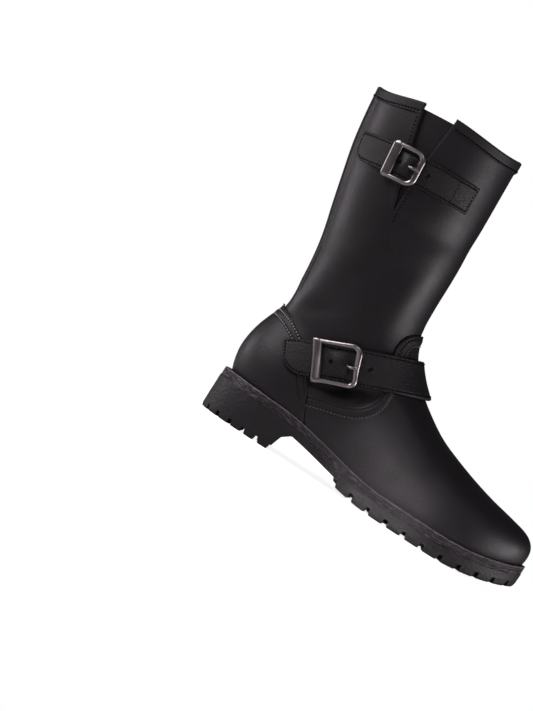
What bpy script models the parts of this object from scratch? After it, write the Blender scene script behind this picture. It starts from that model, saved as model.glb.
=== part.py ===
"""A right-foot motorcycle boot: a pulled-on shaft, a vamp and a heel counter over it, two buckled straps
and a moulded lug sole with its heel. Sizes are in millimetres until they reach a mesh.
X runs from heel to toe, +Y is the inner side of the foot and Z is up from the floor."""

import math

import bmesh
import bpy
import numpy as np

MM = 0.001

# Driving sizes of the sole
SOLE_LENGTH = 277.0
HEEL_REACH = 6.0
TOE_X = SOLE_LENGTH - HEEL_REACH
BALL_WIDTH = 100.0
HEEL_STACK = 31.5
SEAT_DROP = 4.0
FOREFOOT_STACK = 14.5
TOE_SPRING = 13.0
HEEL_END = 45.0
BALL_START = 150.0
TOE_SPRING_START = 195.0
HEEL_BREAST = 57.0
HEEL_DRAFT_BACK = 0.0
HEEL_INSET = 0.4
HEEL_DRAFT_SIDE = 1.5
HEEL_DRAFT_BREAST = 1.5
BREAST_FILLET = 9.0

# Layers, from the floor up
OUTSOLE_BODY = 6.0
LUG_DEPTH = 5.0
HEEL_LUG_DEPTH = 4.2
MIDSOLE_THICK = 3.2
MIDSOLE_INSET = 0.9
WELT_THICK = 3.2
WELT_INSET = 0.3
INSOLE_THICK = 3.0
GAP = 0.3
JOIN = 1.0

# Tread
LUG_PITCH = 16.3
LUG_GROOVE = 3.2
LUG_LENGTH = 28.0
TOE_LUG_SHORTER = 7.0
WAIST_LUG_SHORTER = 9.0
LUG_WAIST = 110.0
HEEL_LUG_PITCH = 12.8
HEEL_LUG_GROOVE = 2.3
HEEL_LUG_LENGTH = 15.0
LUG_SHOULDER = 0.82
PETAL_HUB = 2.0
PETAL_SPREAD = math.radians(31)
CROSS_COLUMNS = ("x", "y", "radius")
FOREFOOT_CROSSES = ((131.0, -3.5, 8.5), (156.0, -2.5, 12.5), (185.0, 0.0, 11.5), (211.0, 1.5, 9.0))
HEEL_CROSSES = ((26.5, 0.0, 6.5), (42.5, 0.0, 7.0))

# Leather
UPPER_WALL = 2.0
OVERLAY_GAP = 0.6
OVERLAY_THICK = 1.4
GUSSET_THICK = 1.2
STRAP_THICK = 2.4

# Fullness of the foot's outline beside an ellipse, from the heel (along 0) to the toe (along 1)
FULLNESS_COLUMNS = ("along", "lateral", "medial")
FULLNESS = np.array((
    (0.00, 1.32, 1.32),
    (0.10, 1.14, 1.13),
    (0.25, 0.87, 0.81),
    (0.37, 0.76, 0.64),
    (0.55, 0.90, 0.82),
    (0.70, 1.09, 1.07),
    (0.85, 1.20, 1.29),
    (1.00, 1.18, 1.42),
))

# Rings of the upper, from the feather edge on the midsole (level 0) to the collar.
# Each ring runs through a back point and a front point; lateral and medial are its half widths,
# and foot is the share of the foot's outline in a ring that is otherwise an ellipse.
RING_COLUMNS = ("back_x", "back_z", "front_x", "front_z", "lateral", "medial", "foot")
RINGS = np.array((
    (3.2, 31.1, 263.3, 24.9, 44.0, 43.5, 1.00),
    (-0.6, 41.5, 266.2, 34.0, 45.5, 45.0, 0.95),
    (-2.8, 53.0, 265.0, 43.5, 45.5, 45.0, 0.85),
    (-2.4, 64.0, 257.5, 50.0, 44.0, 43.5, 0.72),
    (-0.2, 75.0, 242.0, 54.0, 41.5, 41.0, 0.55),
    (3.2, 85.0, 219.5, 58.5, 39.0, 38.5, 0.38),
    (6.5, 94.0, 194.0, 65.5, 37.5, 37.0, 0.24),
    (8.0, 103.0, 167.0, 75.5, 37.0, 36.5, 0.13),
    (8.5, 112.0, 143.0, 89.0, 37.0, 36.5, 0.06),
    (8.0, 122.0, 124.0, 105.0, 37.5, 37.0, 0.02),
    (7.0, 134.0, 111.5, 122.0, 38.5, 38.0, 0.00),
    (5.0, 148.0, 106.5, 140.0, 40.0, 39.5, 0.00),
    (1.5, 164.0, 105.0, 159.0, 41.5, 41.0, 0.00),
    (-4.0, 184.0, 104.5, 181.0, 44.0, 43.5, 0.00),
    (-10.0, 207.0, 103.5, 206.0, 46.5, 46.0, 0.00),
    (-16.0, 231.0, 102.0, 233.0, 49.0, 48.5, 0.00),
    (-20.0, 254.0, 100.5, 259.5, 51.0, 50.5, 0.00),
    (-23.0, 277.0, 99.0, 286.5, 52.0, 51.5, 0.00),
))
TOP_LEVEL = len(RINGS) - 1.0

# Gusset slit in the outer side of the shaft; a turn is a share of the way round from the front, outer side first
SLIT_TURN = 0.2815
SLIT_HALF_TURN = 0.035
SLIT_TIP_LEVEL = 13.75
GUSSET_MARGIN_TURN = 0.012
GUSSET_DROP_LEVEL = 0.13

# Upper edges of the overlays in the side view, ending past the middle of the front and of the back
EDGE_COLUMNS = ("x", "z")
VAMP_EDGE = np.array((
    (58.0, 51.5), (73.0, 56.0), (87.0, 60.0), (95.0, 64.0), (101.0, 70.5), (103.5, 78.0), (102.5, 90.0),
    (98.0, 105.0), (95.0, 120.0), (97.5, 128.5), (104.0, 134.0), (140.0, 135.5),
))
COUNTER_EDGE = np.array(((57.2, 52.5), (49.5, 62.0), (36.0, 81.0), (20.0, 91.0), (-40.0, 99.0)))
OVERLAY_FOOT_LEVEL = 0.16
WELT_FOOT_LEVEL = 0.62
SEAM_FOOT_X = 69.0
SEAM_GAP = 0.5

# Straps: the middle line of each rises and bends towards the front, seen from the side
ANKLE_STRAP = dict(
    x=64.0, z=83.0, rise=0.44, bend=-0.0013, width=26.8, lateral_end=0.392, far_end=-0.345, lift=2.8,
    tip_length=17.0, tip_taper=0.62,
)
TOP_STRAP = dict(
    x=-13.0, z=231.0, rise=0.086, bend=0.0, width=22.0, lateral_end=0.432, far_end=0.1345, lift=0.3,
    tip_length=11.0, tip_taper=0.45,
)
FRONT_LIFT = 1.4
FRONT_LIFT_TURN = 0.13
TIP_CORNER_DROP = 0.03

# Buckles: length runs along the strap, and the wide bar is at the strap's tip
ANKLE_BUCKLE = dict(x=63.5, length=36.8, width=34.2)
TOP_BUCKLE = dict(x=25.3, length=26.2, width=28.2)
WIDE_BAR = 6.6
FAR_BAR = 4.2
SIDE_BAR = 3.4
BUCKLE_CORNER = 7.5
BUCKLE_SQUARE_CORNER = 1.5
BUCKLE_THICK = 2.6
PRONG_RADIUS = 1.2

BINDING_WIDTH = 8.0
BINDING_THICK = 1.0

# Faceting
UPPER_COLUMNS = 40
UPPER_FOOT_ROWS = 21
UPPER_SHAFT_ROWS = 4
UPPER_SLIT_ROWS = 4
SHAFT_LEVEL = 11.0
SLAB_STATIONS = 32
LOOP_POINTS = 56
STRAP_STEP = 8.0
STRAP_FACETS = 4

COLOURS = {
    "leather": ((0.018, 0.016, 0.018), 0.48, 0.0),
    "trim": ((0.014, 0.012, 0.014), 0.52, 0.0),
    "rubber": ((0.022, 0.020, 0.021), 0.72, 0.0),
    "lining": ((0.030, 0.027, 0.027), 0.85, 0.0),
    "steel": ((0.42, 0.40, 0.39), 0.32, 1.0),
}


# Shape functions

def smooth_curve(knots, values, at):
    """Cubic curve through the knots, each slope taken from the neighbouring knots."""
    slopes = np.gradient(values, knots)
    at = np.clip(np.asarray(at, float), knots[0], knots[-1])
    i = np.clip(np.searchsorted(knots, at, side="right") - 1, 0, len(knots) - 2)
    step = knots[i + 1] - knots[i]
    t = (at - knots[i]) / step
    rise = t * t * (3 - 2 * t)
    start_slope = t * (1 - t) ** 2 * step * slopes[i]
    end_slope = t * t * (t - 1) * step * slopes[i + 1]
    return values[i] * (1 - rise) + values[i + 1] * rise + start_slope + end_slope


def foot_line(x):
    """Height of the midsole's top: gently sloped heel seat, arch, flat ball, then toe spring."""
    x = np.asarray(x, float)
    seat = SEAT_DROP * np.sin(math.pi / 2 * np.clip(x / BALL_START, 0, 1))
    arch = np.clip((x - HEEL_END) / (BALL_START - HEEL_END), 0, 1)
    fall = (HEEL_STACK - SEAT_DROP - FOREFOOT_STACK) * (1 - np.cos(math.pi * arch)) / 2
    toe = np.clip((x - TOE_SPRING_START) / (TOE_X - TOE_SPRING_START), 0, 1)
    return HEEL_STACK - seat - fall + TOE_SPRING * toe**2


# The lowest ring stands on the midsole
RINGS[0, [1, 3]] = foot_line(RINGS[0, [0, 2]]) + 1.5 * GAP


def sole_outline(angle, inset=0.0):
    """Plan of the sole: x by the cosine of the angle from the toe, y by its sine times the fullness."""
    along = (1 + np.cos(angle)) / 2
    column = np.where(np.sin(angle) > 0, 1, 2)
    full = np.where(
        column == 1,
        smooth_curve(FULLNESS[:, 0], FULLNESS[:, 1], along),
        smooth_curve(FULLNESS[:, 0], FULLNESS[:, 2], along),
    )
    x = inset - HEEL_REACH + along * (SOLE_LENGTH - 2 * inset)
    y = -np.sin(angle) * full * (BALL_WIDTH / 2 - inset)
    return x, y


def outline_angle(x):
    """Angle from the toe at which the sole's outline passes x."""
    return math.acos(2 * (x + HEEL_REACH) / SOLE_LENGTH - 1)


def upper_point(turn, level):
    """Point of the upper's wall: a ring at that level, at that share of the way round from the front."""
    turn, level = np.broadcast_arrays(np.asarray(turn, float), np.asarray(level, float))
    rows = np.arange(len(RINGS), dtype=float)
    back_x, back_z, front_x, front_z, lateral, medial, foot = (
        smooth_curve(rows, RINGS[:, k], level) for k in range(len(RING_COLUMNS))
    )
    angle = 2 * math.pi * turn
    along = (1 + np.cos(angle)) / 2
    x = back_x + along * (front_x - back_x)
    seat = foot_line(back_x) + along * (foot_line(front_x) - foot_line(back_x))
    z = back_z + along * (front_z - back_z) + foot * (foot_line(x) - seat)
    outer = lateral * (1 + foot * (smooth_curve(FULLNESS[:, 0], FULLNESS[:, 1], along) - 1))
    inner = medial * (1 + foot * (smooth_curve(FULLNESS[:, 0], FULLNESS[:, 2], along) - 1))
    y = -np.sin(angle) * np.where(np.sin(angle) > 0, outer, inner)
    return np.stack((x, y, z), axis=-1)


def upper_offset(turn, level, out):
    """Point at a distance out from the upper's wall, along its outward normal."""
    step = 1e-3
    low = np.clip(level, 0, TOP_LEVEL - step)
    across = upper_point(turn + step, level) - upper_point(turn - step, level)
    up = upper_point(turn, low + step) - upper_point(turn, low)
    normal = np.cross(up, across)
    normal /= np.linalg.norm(normal, axis=-1, keepdims=True)
    return upper_point(turn, level) + np.asarray(out, float)[..., None] * normal


def solve_level(turn, height):
    """Level at which height, a rising function of a point, crosses zero at that turn."""
    low = np.zeros(np.shape(turn))
    high = np.full(np.shape(turn), TOP_LEVEL)
    for _ in range(26):
        middle = (low + high) / 2
        above = height(upper_point(turn, middle)) > 0
        high = np.where(above, middle, high)
        low = np.where(above, low, middle)
    return (low + high) / 2


def turn_at(x, level):
    """Turn on the outer side at which a ring passes x; beyond the ring's ends, its front or back middle."""
    rows = np.arange(len(RINGS), dtype=float)
    back, front = smooth_curve(rows, RINGS[:, 0], level), smooth_curve(rows, RINGS[:, 2], level)
    return np.arccos(np.clip(2 * (x - back) / (front - back) - 1, -1, 1)) / (2 * math.pi)


def edge_path(edge, shares):
    """Turns and levels at even shares of the way along an overlay's upper edge."""
    low, high = np.zeros(len(edge)), np.full(len(edge), TOP_LEVEL)
    for _ in range(40):
        middle = (low + high) / 2
        above = upper_point(turn_at(edge[:, 0], middle), middle)[:, 2] > edge[:, 1]
        high = np.where(above, middle, high)
        low = np.where(above, low, middle)
    turns = turn_at(edge[:, 0], low)
    steps = np.linalg.norm(np.diff(upper_point(turns, low), axis=0), axis=1)
    length = np.concatenate(([0.0], np.cumsum(steps)))
    where = np.asarray(shares) * length[-1]
    return smooth_curve(length, turns, where), smooth_curve(length, low, where)


def strap_line(strap, x):
    """Height of a strap's middle line in the side view."""
    ahead = x - strap["x"]
    return strap["z"] + strap["rise"] * ahead + strap["bend"] * ahead**2


def strap_point(strap, turn, across, out):
    """Point of a strap: across is the distance from its middle line, square to it, out that from the upper."""
    turn, across, out = np.broadcast_arrays(*(np.asarray(a, float) for a in (turn, across, out)))

    def crossing(at, offset):
        level = solve_level(at, lambda p: p[..., 2] - strap_line(strap, p[..., 0]) - offset)
        return level, upper_point(at, level)

    step = 1e-3
    middle = crossing(turn, 0.0)[1]
    heading = crossing(turn + step, 0.0)[1] - crossing(turn - step, 0.0)[1]
    heading /= np.linalg.norm(heading, axis=-1, keepdims=True)
    offset = across * math.hypot(1, strap["rise"])
    at = turn
    for _ in range(3):
        point = crossing(at, offset)[1]
        pace = ((crossing(at + step, offset)[1] - point) * heading).sum(axis=-1) / step
        at = at - ((point - middle) * heading).sum(axis=-1) / pace
    return upper_offset(at, crossing(at, offset)[0], out)


def strap_turns(strap):
    """Dense turns along a strap's middle line with their lengths from its front end."""
    turns = np.linspace(strap["far_end"], strap["lateral_end"], 300)
    middle = strap_point(strap, turns, 0.0, 0.0)
    steps = np.linalg.norm(np.diff(middle, axis=0), axis=1)
    return turns, np.concatenate(([0.0], np.cumsum(steps))), middle


# Mesh helpers

def material(kind):
    found = bpy.data.materials.get(kind)
    if found:
        return found
    colour, roughness, metallic = COLOURS[kind]
    made = bpy.data.materials.new(kind)
    made.use_nodes = True
    shader = made.node_tree.nodes["Principled BSDF"]
    shader.inputs["Base Color"].default_value = (*colour, 1.0)
    shader.inputs["Roughness"].default_value = roughness
    shader.inputs["Metallic"].default_value = metallic
    return made


def add_object(name, points, faces, kind, smooth_angle=35.0):
    """Mesh object from points in millimetres, with doubles merged and normals turned outwards."""
    mesh = bpy.data.meshes.new(name)
    mesh.from_pydata((np.asarray(points) * MM).tolist(), [], faces)
    shape = bmesh.new()
    shape.from_mesh(mesh)
    bmesh.ops.remove_doubles(shape, verts=shape.verts, dist=1e-7)
    bmesh.ops.recalc_face_normals(shape, faces=shape.faces)
    shape.to_mesh(mesh)
    shape.free()
    mesh.shade_smooth()
    mesh.set_sharp_from_angle(angle=math.radians(smooth_angle))
    mesh.materials.append(material(kind))
    made = bpy.data.objects.new(name, mesh)
    bpy.context.scene.collection.objects.link(made)
    made.parent = bpy.data.objects["boot"]
    return made


def grid_faces(rows, columns, start, flip):
    """Quads of a grid of points stored row by row."""
    faces = []
    for r in range(rows - 1):
        for c in range(columns - 1):
            a = start + r * columns + c
            quad = (a, a + 1, a + columns + 1, a + columns)
            faces.append(quad[::-1] if flip else quad)
    return faces


def wall(name, outer, inner, kind, open_from_row=0):
    """Closed shell between two grids. Side edges below open_from_row meet, so they get no rim."""
    rows, columns = outer.shape[:2]
    count = rows * columns
    faces = grid_faces(rows, columns, 0, False) + grid_faces(rows, columns, count, True)
    for c in range(columns - 1):
        for a in (c, (rows - 1) * columns + c):
            faces.append((a, a + 1, count + a + 1, count + a))
    for r in range(open_from_row, rows - 1):
        for a in (r * columns, r * columns + columns - 1):
            faces.append((a, a + columns, count + a + columns, count + a))
    points = np.concatenate((outer.reshape(-1, 3), inner.reshape(-1, 3)))
    return add_object(name, points, faces, kind)


def sweep(name, sections, kind, ring=False):
    """Solid through closed sections of the same number of points, capped unless the ends join."""
    sections = np.asarray(sections)
    count, profile = sections.shape[:2]
    faces = []
    for i in range(count if ring else count - 1):
        for k in range(profile):
            a, b = i * profile + k, i * profile + (k + 1) % profile
            nxt = ((i + 1) % count - i) * profile
            faces.append((a, b, b + nxt, a + nxt))
    if not ring:
        faces.append(tuple(range(profile))[::-1])
        faces.append(tuple((count - 1) * profile + k for k in range(profile)))
    return add_object(name, sections.reshape(-1, 3), faces, kind)


def prism_faces(count, start):
    """Faces of a prism whose lower polygon is stored before its upper one."""
    low = [start + k for k in range(count)]
    high = [start + count + k for k in range(count)]
    sides = [(low[k], low[(k + 1) % count], high[(k + 1) % count], high[k]) for k in range(count)]
    return [tuple(reversed(low)), tuple(high), *sides]


def unite(target, tool):
    """Joins a hidden tool object into the target."""
    tool.hide_render = True
    tool.display_type = "WIRE"
    step = target.modifiers.new(tool.name, "BOOLEAN")
    step.operation = "UNION"
    step.solver = "EXACT"
    step.use_self = True
    step.object = tool


# Sole

def slab_sections(inset, top, bottom):
    """Four-cornered sections of a sole layer from toe to heel, between two heights along x."""
    angle = np.linspace(math.pi / 60, math.pi - math.pi / 60, SLAB_STATIONS)
    x, lateral = sole_outline(angle, inset)
    _, medial = sole_outline(-angle, inset)
    corners = ((lateral, top(x)), (medial, top(x)), (medial, bottom(x)), (lateral, bottom(x)))
    return np.stack([np.stack((x, y, z), axis=-1) for y, z in corners], axis=1)


def outsole_top(x):
    return foot_line(x) - MIDSOLE_THICK - GAP


def lug_floor(x):
    """Lowest face of the forefoot lugs, on the floor under the ball."""
    return outsole_top(x) - OUTSOLE_BODY - LUG_DEPTH


def heel_sections():
    """Heel block from its back to its breast, drawn in towards the floor and hollowed into the shank."""
    angle = np.linspace(math.pi - math.pi / 60, 0.5, SLAB_STATIONS)
    x, lateral = sole_outline(angle, HEEL_INSET)
    _, medial = sole_outline(-angle, HEEL_INSET)
    keep = x < HEEL_BREAST
    x = np.append(x[keep], HEEL_BREAST)
    lateral, medial = (np.append(y[keep], y[keep][-1]) for y in (lateral, medial))
    low_x = HEEL_DRAFT_BACK + x / HEEL_BREAST * (HEEL_BREAST - HEEL_DRAFT_BACK - HEEL_DRAFT_BREAST)
    narrow = 1 - HEEL_DRAFT_SIDE / np.maximum(np.abs(lateral), 10.0)
    fillet_x = x + BREAST_FILLET * np.clip((x - HEEL_END) / (HEEL_BREAST - HEEL_END), 0, 1)
    top = outsole_top(fillet_x) - OUTSOLE_BODY + JOIN
    shoulder = top - JOIN - BREAST_FILLET * 0.5
    corners = (
        (fillet_x, lateral, top),
        (fillet_x, medial, top),
        ((x + fillet_x) / 2 - 3 * (fillet_x - x) / BREAST_FILLET, medial, shoulder),
        (low_x, medial * narrow, np.full(len(x), HEEL_LUG_DEPTH)),
        (low_x, lateral * narrow, np.full(len(x), HEEL_LUG_DEPTH)),
        ((x + fillet_x) / 2 - 3 * (fillet_x - x) / BREAST_FILLET, lateral, shoulder),
    )
    return np.stack([np.stack(corner, axis=-1) for corner in corners], axis=1)


def perimeter(start_angle, end_angle, place):
    """Points along an outline with their lengths and inward directions; place maps x, y of the sole."""
    angle = np.linspace(start_angle, end_angle, 800)
    x, y = place(*sole_outline(angle))
    points = np.stack((x, y), axis=-1)
    steps = np.linalg.norm(np.diff(points, axis=0), axis=1)
    length = np.concatenate(([0.0], np.cumsum(steps)))
    tangent = np.gradient(points, length, axis=0)
    inward = np.stack((-tangent[:, 1], tangent[:, 0]), axis=-1)
    middle = points.mean(axis=0)
    if ((middle - points) * inward).sum() < 0:
        inward = -inward
    return points, length, inward


def edge_lugs(path, pitch, groove, longest, waist_shorter):
    """Plans of the lugs along an outline: an outer edge, two straight flanks and a pointed inner end."""
    points, length, inward = path
    toe_start = TOE_SPRING_START + 20.0

    def at(where, depth):
        p = np.array([np.interp(where, length, points[:, k]) for k in (0, 1)])
        n = np.array([np.interp(where, length, inward[:, k]) for k in (0, 1)])
        return p + depth * n / np.linalg.norm(n)

    count = round(length[-1] / pitch)
    step = length[-1] / count
    plans = []
    for i in range(count):
        start, end = i * step + groove / 2, (i + 1) * step - groove / 2
        middle = (start + end) / 2
        toe = np.clip((at(middle, 0.0)[0] - toe_start) / (TOE_X - toe_start), 0, 1)
        waist = np.clip((BALL_START - at(middle, 0.0)[0]) / (BALL_START - LUG_WAIST), 0, 1)
        reach = longest - TOE_LUG_SHORTER * toe - waist_shorter * waist
        outer = [at(s, 0.0) for s in (start, middle, end)]
        shoulder = [at(s, reach * LUG_SHOULDER) for s in (end, start)]
        centre = (shoulder[0] + shoulder[1]) / 2
        half = (shoulder[0] - shoulder[1]) / 2
        least = groove / 2
        spread = max(np.linalg.norm(half) - least / 2, least) / np.linalg.norm(half)
        plans.append([*outer, centre + half * spread, at(middle, reach), centre - half * spread])
    return plans


def cross_lugs(crosses):
    """Plans of the four petals of each cross along the tread's middle."""
    plans = []
    for x, y, radius in crosses:
        for quarter in range(4):
            heading = math.pi / 4 + quarter * math.pi / 2
            corners = (
                (PETAL_HUB, heading),
                (radius, heading - PETAL_SPREAD),
                (radius * 1.08, heading),
                (radius, heading + PETAL_SPREAD),
            )
            plans.append([np.array((x + r * math.cos(a), y + r * math.sin(a))) for r, a in corners])
    return plans


def lug_tool(name, plans, floor, roof):
    """One hidden object holding all lugs of a tread, standing on the floor heights given."""
    points, faces = [], []
    for plan in plans:
        faces += prism_faces(len(plan), len(points))
        for height in (floor, roof):
            points += [(x, y, float(height(x))) for x, y in plan]
    return add_object(name, points, faces, "rubber")


def build_outsole():
    """One moulded unit: a curved slab, the heel block and the lugs of both treads."""
    outsole = sweep(
        "outsole",
        slab_sections(0.0, outsole_top, lambda x: outsole_top(x) - OUTSOLE_BODY),
        "rubber",
    )
    unite(outsole, sweep("heel_tool", heel_sections(), "rubber"))
    waist = outline_angle(LUG_WAIST)
    forefoot = perimeter(waist, -waist, lambda x, y: (x, y))
    plans = edge_lugs(forefoot, LUG_PITCH, LUG_GROOVE, LUG_LENGTH, WAIST_LUG_SHORTER)
    plans += cross_lugs(FOREFOOT_CROSSES)
    unite(outsole, lug_tool("lug_tool", plans, lug_floor, lambda x: lug_floor(x) + LUG_DEPTH + JOIN))
    breast = outline_angle(HEEL_BREAST)
    shrink = (HEEL_BREAST - HEEL_DRAFT_BACK - HEEL_DRAFT_BREAST) / HEEL_BREAST
    side = 1 - HEEL_DRAFT_SIDE / (BALL_WIDTH * 0.36)
    heel = perimeter(
        breast, 2 * math.pi - breast, lambda x, y: (HEEL_DRAFT_BACK + x * shrink, y * side)
    )
    plans = edge_lugs(heel, HEEL_LUG_PITCH, HEEL_LUG_GROOVE, HEEL_LUG_LENGTH, 0.0) + cross_lugs(HEEL_CROSSES)
    unite(outsole, lug_tool("heel_lug_tool", plans, lambda x: 0.0, lambda x: HEEL_LUG_DEPTH + JOIN))


def build_midsole():
    sweep(
        "midsole",
        slab_sections(MIDSOLE_INSET, foot_line, lambda x: foot_line(x) - MIDSOLE_THICK),
        "rubber",
    )


def build_welt():
    """Strip on the midsole's rim, between the foot's overlays and the sole's edge."""
    angle = np.linspace(0, 2 * math.pi, LOOP_POINTS, endpoint=False)
    x, y = sole_outline(angle, WELT_INSET)
    outer = np.stack((x, y), axis=-1)
    clearance = OVERLAY_GAP + OVERLAY_THICK + GAP
    foot = upper_offset(angle / (2 * math.pi), np.full(angle.shape, WELT_FOOT_LEVEL), np.full(angle.shape, clearance))
    inner = foot[:, :2]
    corners = []
    for plan, lift in ((outer, GAP), (outer, GAP + WELT_THICK), (inner, GAP + WELT_THICK), (inner, GAP)):
        corners.append(np.column_stack((plan, foot_line(plan[:, 0]) + lift)))
    sweep("welt", np.stack(corners, axis=1), "rubber", ring=True)


def build_insole():
    """Footbed inside the upper's wall, on the midsole."""
    angle = np.linspace(math.pi / 60, math.pi - math.pi / 60, SLAB_STATIONS)
    clearance = UPPER_WALL + 3 * GAP

    def side(sign):
        return upper_offset(
            sign * angle / (2 * math.pi), np.zeros(angle.shape), np.full(angle.shape, -clearance)
        )

    sections = []
    for lateral, medial in zip(side(1), side(-1)):
        floor = float(foot_line((lateral[0] + medial[0]) / 2)) + GAP
        corners = ((lateral, INSOLE_THICK), (medial, INSOLE_THICK), (medial, 0.0), (lateral, 0.0))
        sections.append([(p[0], p[1], floor + lift) for p, lift in corners])
    sweep("insole", sections, "lining")


# Upper

def upper_grid():
    """Turns and levels of the upper's wall, parted at the slit above its tip."""
    foot = np.linspace(0, SHAFT_LEVEL, UPPER_FOOT_ROWS)
    shaft = np.linspace(SHAFT_LEVEL, SLIT_TIP_LEVEL, UPPER_SHAFT_ROWS)[1:]
    slit = np.linspace(SLIT_TIP_LEVEL, TOP_LEVEL, UPPER_SLIT_ROWS)[1:]
    level = np.concatenate((foot, shaft, slit))[:, None]
    share = np.linspace(0, 1, UPPER_COLUMNS + 1)[None, :]
    opening = slit_half_turn(level)
    return SLIT_TURN + opening + share * (1 - 2 * opening), np.broadcast_to(level, (len(level), share.size))


def slit_half_turn(level):
    """Half width of the slit: none below its tip, widening evenly to the collar."""
    return SLIT_HALF_TURN * np.clip((level - SLIT_TIP_LEVEL) / (TOP_LEVEL - SLIT_TIP_LEVEL), 0, 1)


def build_upper():
    turn, level = upper_grid()
    outer = upper_offset(turn, level, np.zeros(turn.shape))
    inner = upper_offset(turn, level, np.full(turn.shape, -UPPER_WALL))
    wall("upper", outer, inner, "leather", open_from_row=UPPER_FOOT_ROWS + UPPER_SHAFT_ROWS - 2)


def build_overlay(name, edge, middle_turn, gap, rows, columns):
    """Leather piece over the foot, from the feather edge up to its own edge, cut from the upper's function.
    The inner side mirrors the outer one about the middle of the front or of the back."""
    shares = np.linspace(0, 1, columns)
    edge_turn, edge_level = edge_path(edge, shares)
    seam_turn = turn_at(SEAM_FOOT_X - gap, 0.0)
    foot_turn = seam_turn + shares * (middle_turn - seam_turn)
    mirrored = slice(columns - 2, None, -1)
    foot_turn = np.concatenate((foot_turn, 2 * middle_turn - foot_turn[mirrored]))
    edge_turn = np.concatenate((edge_turn, 2 * middle_turn - edge_turn[mirrored]))
    edge_level = np.concatenate((edge_level, edge_level[mirrored]))
    up = np.linspace(0, 1, rows)[:, None] ** 1.25
    turn = foot_turn + up * (edge_turn - foot_turn)
    level = OVERLAY_FOOT_LEVEL + up * (edge_level - OVERLAY_FOOT_LEVEL)
    outer = upper_offset(turn, level, np.full(turn.shape, OVERLAY_GAP + OVERLAY_THICK))
    inner = upper_offset(turn, level, np.full(turn.shape, OVERLAY_GAP))
    wall(name, outer, inner, "leather")


def build_overlays():
    build_overlay("vamp", VAMP_EDGE, 0.0, 0.0, 19, 17)
    build_overlay("heel_counter", COUNTER_EDGE, 0.5, SEAM_GAP, 9, 13)


def build_gusset():
    """Panel behind the slit, on the inside of the shaft's wall."""
    level = np.linspace(SLIT_TIP_LEVEL - 0.2, TOP_LEVEL - GUSSET_DROP_LEVEL, 8)[:, None]
    half = slit_half_turn(level) + GUSSET_MARGIN_TURN
    turn = SLIT_TURN + half * np.linspace(-1, 1, 7)[None, :]
    level = np.broadcast_to(level, turn.shape)
    face = UPPER_WALL + 2 * GAP
    outer = upper_offset(turn, level, np.full(turn.shape, -face))
    inner = upper_offset(turn, level, np.full(turn.shape, -face - GUSSET_THICK))
    wall("gusset", outer, inner, "trim")


def build_binding():
    """Folded strip over the collar's rim, from one side of the slit round to the other."""
    share = np.linspace(0, 1, UPPER_COLUMNS + 1)
    turn = SLIT_TURN + SLIT_HALF_TURN + share * (1 - 2 * SLIT_HALF_TURN)
    top = np.full(turn.shape, TOP_LEVEL)
    rim = upper_point(turn, top)
    rise = rim - upper_point(turn, top - 0.2)
    rise /= np.linalg.norm(rise, axis=-1, keepdims=True)
    normal = upper_offset(turn, top, np.ones(turn.shape)) - rim
    near, far = GAP, GAP + BINDING_THICK
    inside = UPPER_WALL
    profile = (
        (far, -BINDING_WIDTH), (far, far), (-inside - far, far), (-inside - far, -1.0),
        (-inside - near, -1.0), (-inside - near, near), (near, near), (near, -BINDING_WIDTH),
    )
    sections = np.stack([rim + out * normal + up * rise for out, up in profile], axis=1)
    sweep("collar_binding", sections, "trim")


# Straps and buckles

def build_strap(name, strap):
    """Flat leather strip over the upper, narrowed to a one-sided tip at its outer end."""
    turns, length, _ = strap_turns(strap)
    where = np.linspace(0, 1, round(length[-1] / STRAP_STEP))
    where = length[-1] * (1 - (1 - where) ** 1.25)
    turn = np.interp(where, length, turns)
    half = strap["width"] / 2
    tip = np.clip(1 - (length[-1] - where) / strap["tip_length"], 0, 1)
    low = -half + strap["width"] * strap["tip_taper"] * (1 - np.sqrt(1 - tip**2))
    high = half - strap["width"] * TIP_CORNER_DROP * tip**3
    near = strap["lift"] + FRONT_LIFT * np.exp(-((turn / FRONT_LIFT_TURN) ** 2))
    far = near + STRAP_THICK
    shares = np.linspace(0, 1, STRAP_FACETS + 1)
    profile = [(share, near) for share in shares] + [(share, far) for share in shares[::-1]]
    sections = np.stack(
        [strap_point(strap, turn, low + share * (high - low), out) for share, out in profile], axis=1
    )
    sweep(name, sections, "leather")


def buckle_loop(length, width, bars, corners, count=6):
    """Rounded rectangle, counted from the strap's tip side; bars narrow it and corners round it."""
    wide, far, side = bars
    low_a, high_a = -length / 2 + far, length / 2 - wide
    half = width / 2 - side
    square, rounded = corners
    places = (
        (high_a, half, square, 0.0), (low_a, half, rounded, 90.0),
        (low_a, -half, rounded, 180.0), (high_a, -half, square, 270.0),
    )
    loop = []
    for a, c, radius, start in places:
        centre_a = a - math.copysign(radius, a)
        centre_c = c - math.copysign(radius, c)
        for k in range(count):
            heading = math.radians(start + 90.0 * k / (count - 1))
            loop.append((centre_a + radius * math.cos(heading), centre_c + radius * math.sin(heading)))
    return np.array(loop)


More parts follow.
